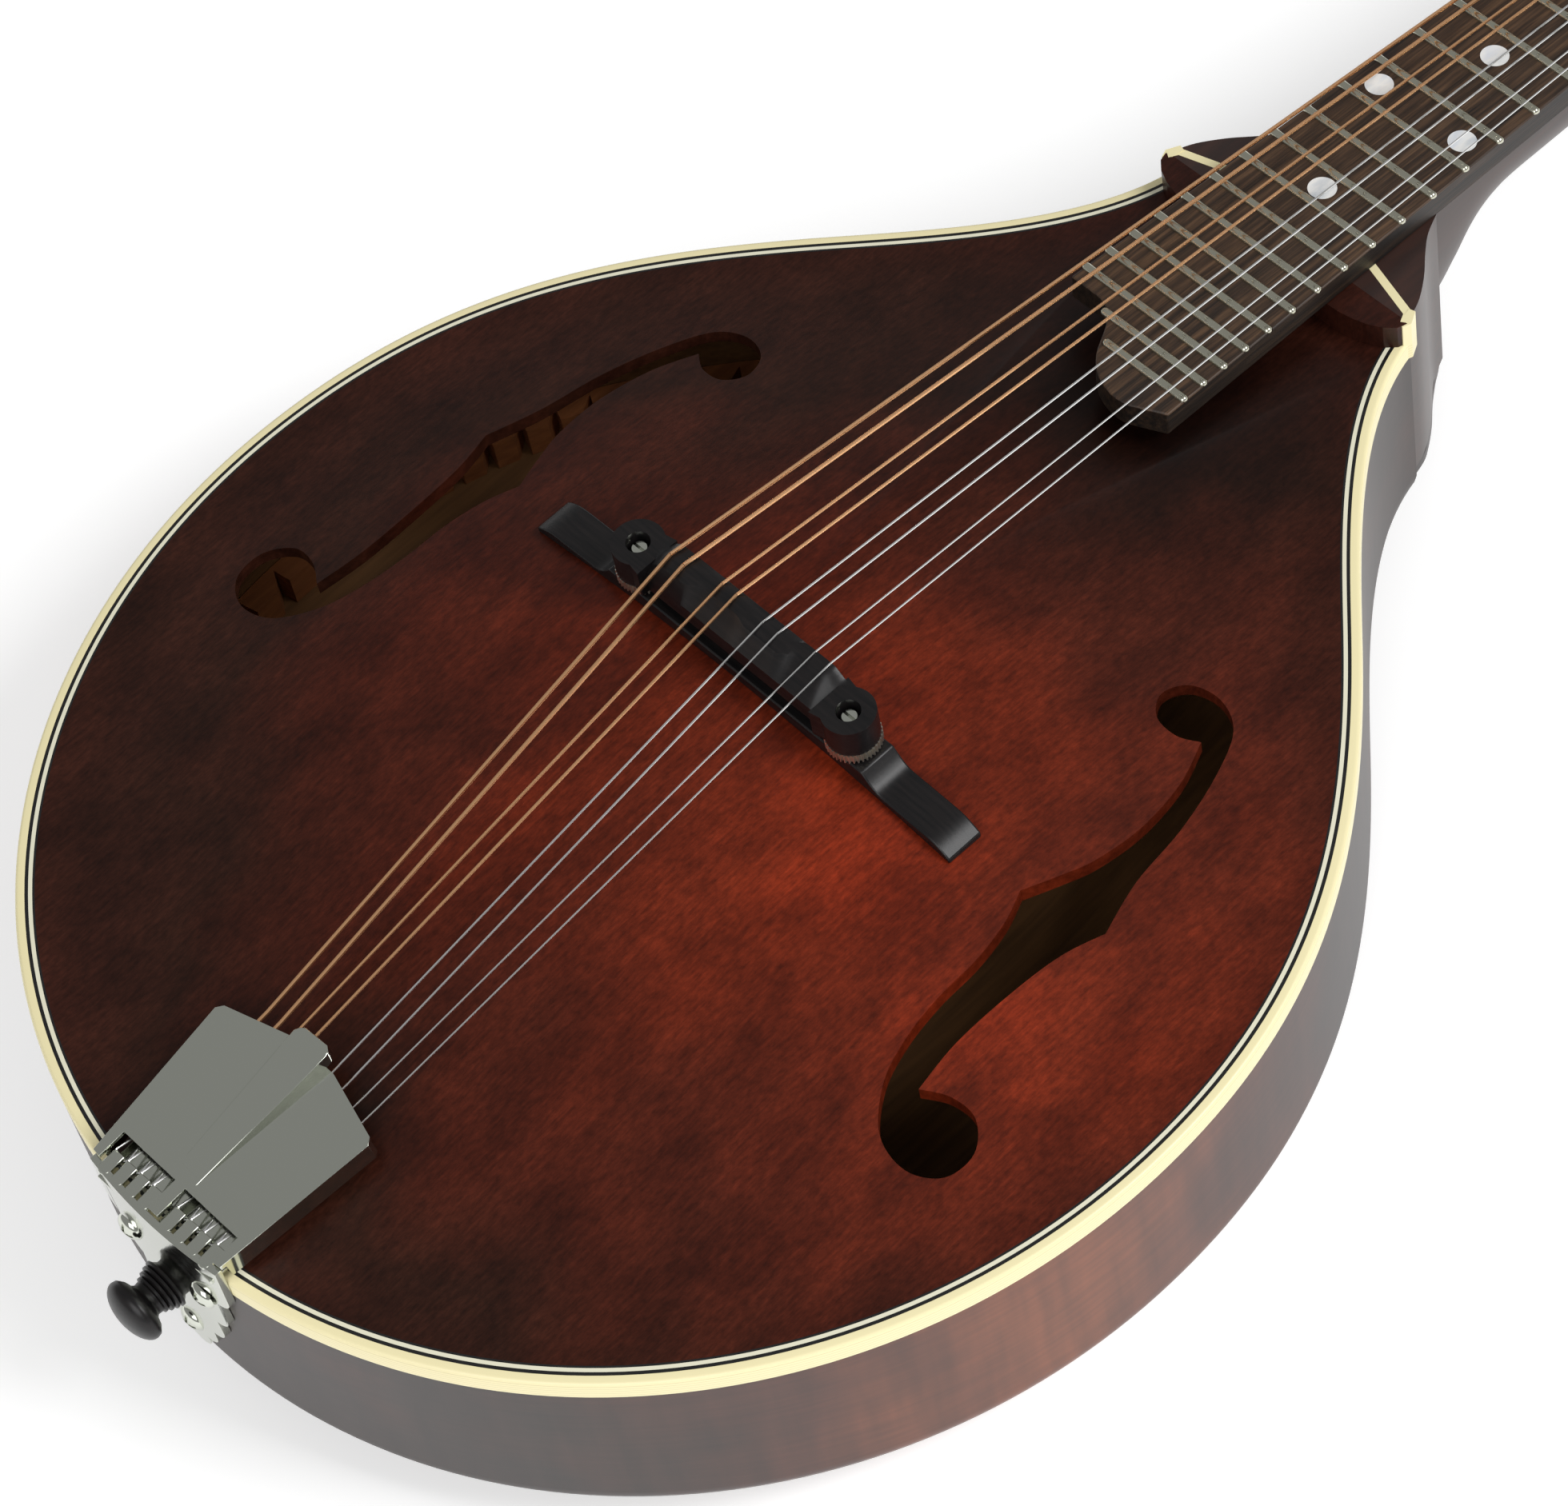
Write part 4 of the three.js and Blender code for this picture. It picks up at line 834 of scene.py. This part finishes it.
def crest_y(x):
    """The crest steps forward and back, so that each pair of strings plays in tune."""
    marks = [(-40, -4.5), (-14.6, -4.5), (-10.6, -2.5), (-1.6, -2.5),
             (1.6, -3.5), (10.6, -3.5), (13.6, -1.5), (40, -1.5)]
    for (x0, y0), (x1, y1) in zip(marks, marks[1:]):
        if x <= x1:
            return y0 + (y1 - y0) * (x - x0) / (x1 - x0)
    return marks[-1][1]


def build_bridge_saddle():
    low, boss_top = 21.2, 28.4
    sections = []
    for i in range(62):
        x = -26 + 52 * i / 61
        end = min(1, max(0, (abs(x) - 20.5) / 4))
        crest = CREST_Z - (CREST_Z - boss_top) * (3 * end ** 2 - 2 * end ** 3)
        ridge = crest_y(x)
        sections.append([
            (x, -8.9, low), (x, -8.9, 25.4), (x, ridge - 2.6, crest - 0.8), (x, ridge - 0.4, crest),
            (x, ridge + 0.4, crest), (x, -0.9, crest - 0.6), (x, -0.9, low),
        ])
    bar = loft(sections)
    bosses = []
    for side in SIDES.values():
        rim = [(x, y) for x, y in circle(5.4, 48, (side * STUD_X, BRIDGE_Y)) if side * x >= STUD_X - 3]
        rim.sort(key=lambda p: side * math.atan2(p[1] - BRIDGE_Y, side * (p[0] - side * STUD_X)))
        inward = side * (STUD_X - 5.4)
        rim = [(inward, BRIDGE_Y - 5.2), *rim, (inward, BRIDGE_Y + 5.2)] if side > 0 else \
            [(inward, BRIDGE_Y + 5.2), *rim, (inward, BRIDGE_Y - 5.2)]
        bosses.append(prism(rim, low, boss_top))
    bore = turned([(2.45, 15), (2.45, 40)], "Z", 40)
    bores = [moved(bore, side * STUD_X, BRIDGE_Y) for side in SIDES.values()]
    solid = cut(joined(bar, *bosses), *bores)
    show("saddle", solid, INSTRUMENT, "ebony", "bridge_saddle", body="saddle", bevel=0.25, smooth=28)


def build_bridge_hardware():
    for name, side in SIDES.items():
        knurl = []
        for i in range(160):
            radius, angle = (5.6 if i % 4 < 2 else 5.1), math.pi * i / 80
            knurl.append((radius * math.cos(angle), radius * math.sin(angle)))
        wheel = cut(prism(knurl, 18.95, 21.1), turned([(2.1, 10), (2.1, 30)], "Z"))
        wheel = moved(wheel, side * STUD_X, BRIDGE_Y)
        show(f"wheel_{name}", wheel, INSTRUMENT, "brass", f"thumbwheel_{name}", body=f"wheel_{name}",
             material="knurled")
        stud = turned([(1.8, 14.8), (1.8, 26.2), (1.5, 26.6)], "Z")
        stud = cut(stud, block((-3, -0.3, 25.6), (3, 0.3, 30)))
        stud = moved(stud, side * STUD_X, BRIDGE_Y)
        show(f"stud_{name}", stud, INSTRUMENT, "nickel", f"bridge_stud_{name}")


# ---------------------------------------------------------------- tailpiece and end pin
PLATE_TOP, PLATE_HALF = 5.2, 18
# The end plate steps in towards its foot in rounded lobes: (half width, foot).
LOBES = [(18, -10), (14.6, -21), (11.2, -29.5), (7.4, -36), (3.9, -41)]


def lobed_outline():
    half, radius = [(PLATE_HALF, PLATE_TOP)], 3.8
    for width, foot in LOBES:
        for i in range(9):
            angle = math.pi / 2 * i / 8
            half.append((width - radius * (1 - math.cos(angle)), foot + radius * (1 - math.sin(angle))))
    return half + [(-x, z) for x, z in reversed(half)]


def end_plate():
    """A sheet bent round the tail, with a lobed outline."""
    sheet = []
    for i in range(25):
        x = PLATE_HALF * 1.05 * (i / 12 - 1)
        ring = []
        for distance, z in ((0.1, -50), (1.6, -50), (1.6, 10), (0.1, 10)):
            across = x / (HALF_WIDTH + distance)
            y = WIDEST_Y - (TAIL_LENGTH + distance) * math.sqrt(1 - across ** 2)
            ring.append((x, y, z))
        sheet.append(ring)
    face = prism(lobed_outline(), TAIL_Y - 10, TAIL_Y + 10, "Y")
    return combined(loft(sheet), "INTERSECT", face)


def hook(x):
    """A hook stamped up out of the base: a stem in front, and a rounded tab pointing to the tail."""
    tab = [(x - 1.4, 4.8), (x - 1.4, 0.9)]
    tab += [(x - 1.4 * math.cos(a), 0.9 - 1.3 * math.sin(a)) for a in (math.pi * i / 8 for i in range(1, 8))]
    tab += [(x + 1.4, 0.9), (x + 1.4, 4.8)]
    return merged(prism(tab, 3.9, 4.8), block((x - 0.9, 3.9, 0.9), (x + 0.9, 4.8, 4.1)))


def build_tailpiece():
    show("end_plate", end_plate(), INSTRUMENT, "nickel", "tailpiece_base", bevel=0.25)
    floor = block((-16.4, 3.9, 0.05), (16.4, 36, 1.2))
    lip = block((-17.5, 35.2, 0.05), (17.5, 36.4, 2.2))
    root = block((-16.4, -0.9, 0.05), (16.4, 0.6, 1.2))
    rails = [block((x - 0.5, 0.3, 0.1), (x + 0.5, 4.4, 1.1)) for x in (-15.9, 0, 15.9)]
    show("tailpiece_floor", merged(floor, lip, root, *rails), TAIL, "nickel", "tailpiece_base", bevel=0.2)
    hooks = merged(*[hook(string["hook"]) for string in STRINGS])
    show("tailpiece_hooks", hooks, TAIL, "nickel", "tailpiece_base", bevel=0.2)
    build_cover()
    build_tail_screws()


def build_cover():
    front, rear, thickness, top = 21.8, 18.2, 0.9, 6.0

    def outline(inset):
        a, b = rear - inset, front - inset
        return [(-a, 1.9), (-9, 0.9), (9, 0.9), (a, 1.9), (b, 36), (b - 1.1, 37.4), (6, 41.5), (-6, 41.5),
                (1.1 - b, 37.4), (-b, 36)]

    shell = prism(outline(0), 0.7, top)
    hollow = prism(outline(thickness), -5, top - thickness)
    open_front = block((0.9 - front, 30, -5), (front - 0.9, 60, top - thickness))
    open_rear = block((-30, -5, -5), (30, 3, 4.8))
    windows = [block((min(s * 1.4, s * 16.3), -5, -5), (max(s * 1.4, s * 16.3), 8, 12)) for s in (-1, 1)]
    shell = cut(shell, hollow, open_front, open_rear, *windows)
    show("cover_plate", shell, TAIL, "nickel", "tailpiece_cover", body="cover", bevel=0.2)
    # The ridge rises out of the plate towards the front, most of all along its treble edge.
    ridge = loft([
        [(-3.2, 9, 5.6), (2.6, 9, 5.6), (2.6, 9, 5.95), (-3.2, 9, 5.95)],
        [(-6.2, 42.6, 5.6), (3.9, 42.6, 5.6), (3.9, 42.6, 8.9), (-6.2, 42.6, 6.7)],
        [(-5.6, 43.6, 5.6), (3.4, 43.6, 5.6), (3.4, 43.6, 8.9), (-5.6, 43.6, 6.8)],
        [(-4.4, 44.3, 5.6), (2.4, 44.3, 5.6), (2.4, 44.3, 8.8), (-4.4, 44.3, 7.0)],
    ])
    show("cover_ridge", ridge, TAIL, "nickel", body="cover", bevel=0.15)


def build_tail_screws():
    angles = [math.pi / 2 * i / 8 for i in range(9)]
    dome = [(3.1 * math.cos(a), TAIL_Y - 1.65 - 1.75 * math.sin(a)) for a in angles]
    profile = [(1.5, TAIL_Y + 11), (1.5, TAIL_Y - 1.6), *dome]
    slot = block((-4, TAIL_Y - 6, -0.35), (4, TAIL_Y - 2.9, 0.35))
    cross = block((-0.35, TAIL_Y - 6, -4), (0.35, TAIL_Y - 2.9, 4))
    screw = cut(turned(profile, "Y"), slot, cross)
    for index, (x, z) in enumerate(((-10.5, -10.3), (10.5, -10.3), (0, -33))):
        show(f"domed_screw_{index + 1}", moved(screw, x, 0.4, z), INSTRUMENT, "nickel",
             f"tailpiece_screw_{index + 1}")


def build_end_pin():
    knob = [(6.7 * math.sin(a), -168.9 - 3.3 * math.cos(a)) for a in (math.pi / 2 * i / 10 for i in range(11))]
    knob += [(6.5, -168), (5.4, -167.1), (4, -166.6), (3.5, -166), (3.6, -165.3)]
    rings = []
    for i, radius in enumerate((4.1, 4.6, 5.0, 5.3)):
        start = -165 + i * 1.05
        rings += [(radius - 0.5, start), (radius, start + 0.25),
                  (radius, start + 0.75), (radius - 0.5, start + 1)]
    profile = [*knob, *rings, (4.0, -160), (3.5, -136)]
    pin = moved(turned(profile, "Y", 40), z=PIN_Z)
    show("strap_pin", pin, INSTRUMENT, "ebony", "end_pin", smooth=50)


# ---------------------------------------------------------------- tuners
def gear(teeth=14, outer=5.4, inner=4.5):
    outline = []
    for i in range(teeth):
        for share, radius in ((0.0, inner), (0.25, inner), (0.4, outer), (0.75, outer), (0.9, inner)):
            angle = 2 * math.pi * (i + share) / teeth
            outline.append((radius * math.cos(angle), radius * math.sin(angle)))
    return prism(outline, -18.6, -14.9)


def build_tuners():
    profile = [(2.9, -14.9), (2.9, 8), (WAIST, 8.4), (WAIST, 10.6), (2.9, 11), (2.9, 14.4), (2.2, 15)]
    shaft = turned(profile, "Z")
    shaft = cut(shaft, moved(turned([(0.7, -6), (0.7, 6)], "X", 16), z=WRAP_Z))
    post = merged(shaft, gear(), turned([(1.4, -19.6), (1.4, -18.6)], "Z", 20))
    spindle = [(1.3, 9.4), (1.3, 13.4)]
    for i in range(6):
        turn = i * 1.15
        spindle += [(1.7, 13.6 + turn), (2.25, 14.0 + turn), (2.25, 14.3 + turn), (1.7, 14.7 + turn)]
    spindle += [(1.3, 20.6), (1.3, 32.8), (2.2, 33.0), (2.2, 35)]
    button = [(2.4, 34), (3.6, 34.6), (5.4, 37), (6.5, 39.8),
              (6.6, 42.2), (5.6, 44.4), (3.6, 45.8), (1.2, 46.2)]

    def flattened(x, y, z):
        return (x, y, z * 0.72) if x > 34 else (x, y, z)

    for index, (side, row) in enumerate(STRING_POSTS):
        y = FIRST_POST_Y + POST_PITCH * row
        show(f"peg_{index + 1}", moved(post, side * POST_X, y), HEAD, "nickel", f"tuner_post_{index + 1}",
             body=f"post_{index + 1}")
        for name, profile, slot in (("shaft", spindle, "nickel"), ("button", button, "pearl")):
            solid = changed(turned(profile, "X"), flattened)
            solid = solid if side > 0 else mirrored(solid)
            show(f"tuner_{name}_{index + 1}", moved(solid, 0, y + WORM_OFFSET, WORM_Z), HEAD, slot,
                 f"tuner_worm_{index + 1}", body=f"worm_{index + 1}", smooth=50)


# ---------------------------------------------------------------- camera, light and floor
def build_camera():
    """The camera of the picture, placed in the frame of the instrument."""
    place = INSTRUMENT @ Vector((501.43, -323.18, 856.53))
    right = Vector((0.70157, 0.70630, -0.09457))
    down = Vector((0.55538, -0.62509, -0.54847))
    turn = Matrix((right, -down, -right.cross(down))).transposed()
    data = bpy.data.cameras.new("camera")
    data.sensor_width, data.lens = SENSOR_WIDTH, LENS
    data.shift_x, data.shift_y = LENS_SHIFT
    data.clip_start, data.clip_end = 0.05, 20
    camera = bpy.data.objects.new("camera", data)
    camera.matrix_world = Matrix.Translation(place) @ (tilt(REST_TILT).to_3x3() @ turn).to_4x4()
    bpy.context.scene.collection.objects.link(camera)
    bpy.context.scene.camera = camera


def area_light(name, place, target, size, power, colour=(1, 1, 1)):
    data = bpy.data.lights.new(name, "AREA")
    data.shape, data.size, data.size_y = "RECTANGLE", size[0], size[1]
    data.energy, data.color = power, colour
    light = bpy.data.objects.new(name, data)
    light.location = place
    light.rotation_mode = "QUATERNION"
    light.rotation_quaternion = (Vector(target) - Vector(place)).to_track_quat("-Z", "Y")
    bpy.context.scene.collection.objects.link(light)


def pale_floor():
    glow = {"Emission Color": (1, 1, 1, 1), "Emission Strength": 0.35}
    return Look("floor", roughness=0.9, **{"Specular IOR Level": 0.0}, **glow).colour((0.9, 0.9, 0.9))


def build_studio():
    scene = bpy.context.scene
    scene.view_settings.view_transform = "Standard"
    world = bpy.data.worlds.new("studio")
    world.use_nodes = True
    world.node_tree.nodes["Background"].inputs["Color"].default_value = (1, 1, 1, 1)
    world.node_tree.nodes["Background"].inputs["Strength"].default_value = 0.32
    scene.world = world
    area_light("key", (1.1, 0.45, 1.35), (0, -0.1, 0.05), (0.8, 0.8), 21)
    area_light("fill", (0.6, -1.3, 1.0), (0, -0.15, 0.05), (1.1, 1.1), 12)

    mesh = bpy.data.meshes.new("floor")
    corners = [(x, y, -0.0005) for x, y in ((-4, -4), (4, -4), (4, 4), (-4, 4))]
    mesh.from_pydata(corners, [], [(0, 1, 2, 3)])
    mesh.materials.append(pale_floor())
    floor = bpy.data.objects.new("floor", mesh)
    scene.collection.objects.link(floor)


finish_cad_nodes()
build_body()
build_binding()
build_fingerboard()
build_neck()
build_strings()
build_bridge_base()
build_bridge_saddle()
build_bridge_hardware()
build_tailpiece()
build_end_pin()
build_tuners()
build_camera()
build_studio()
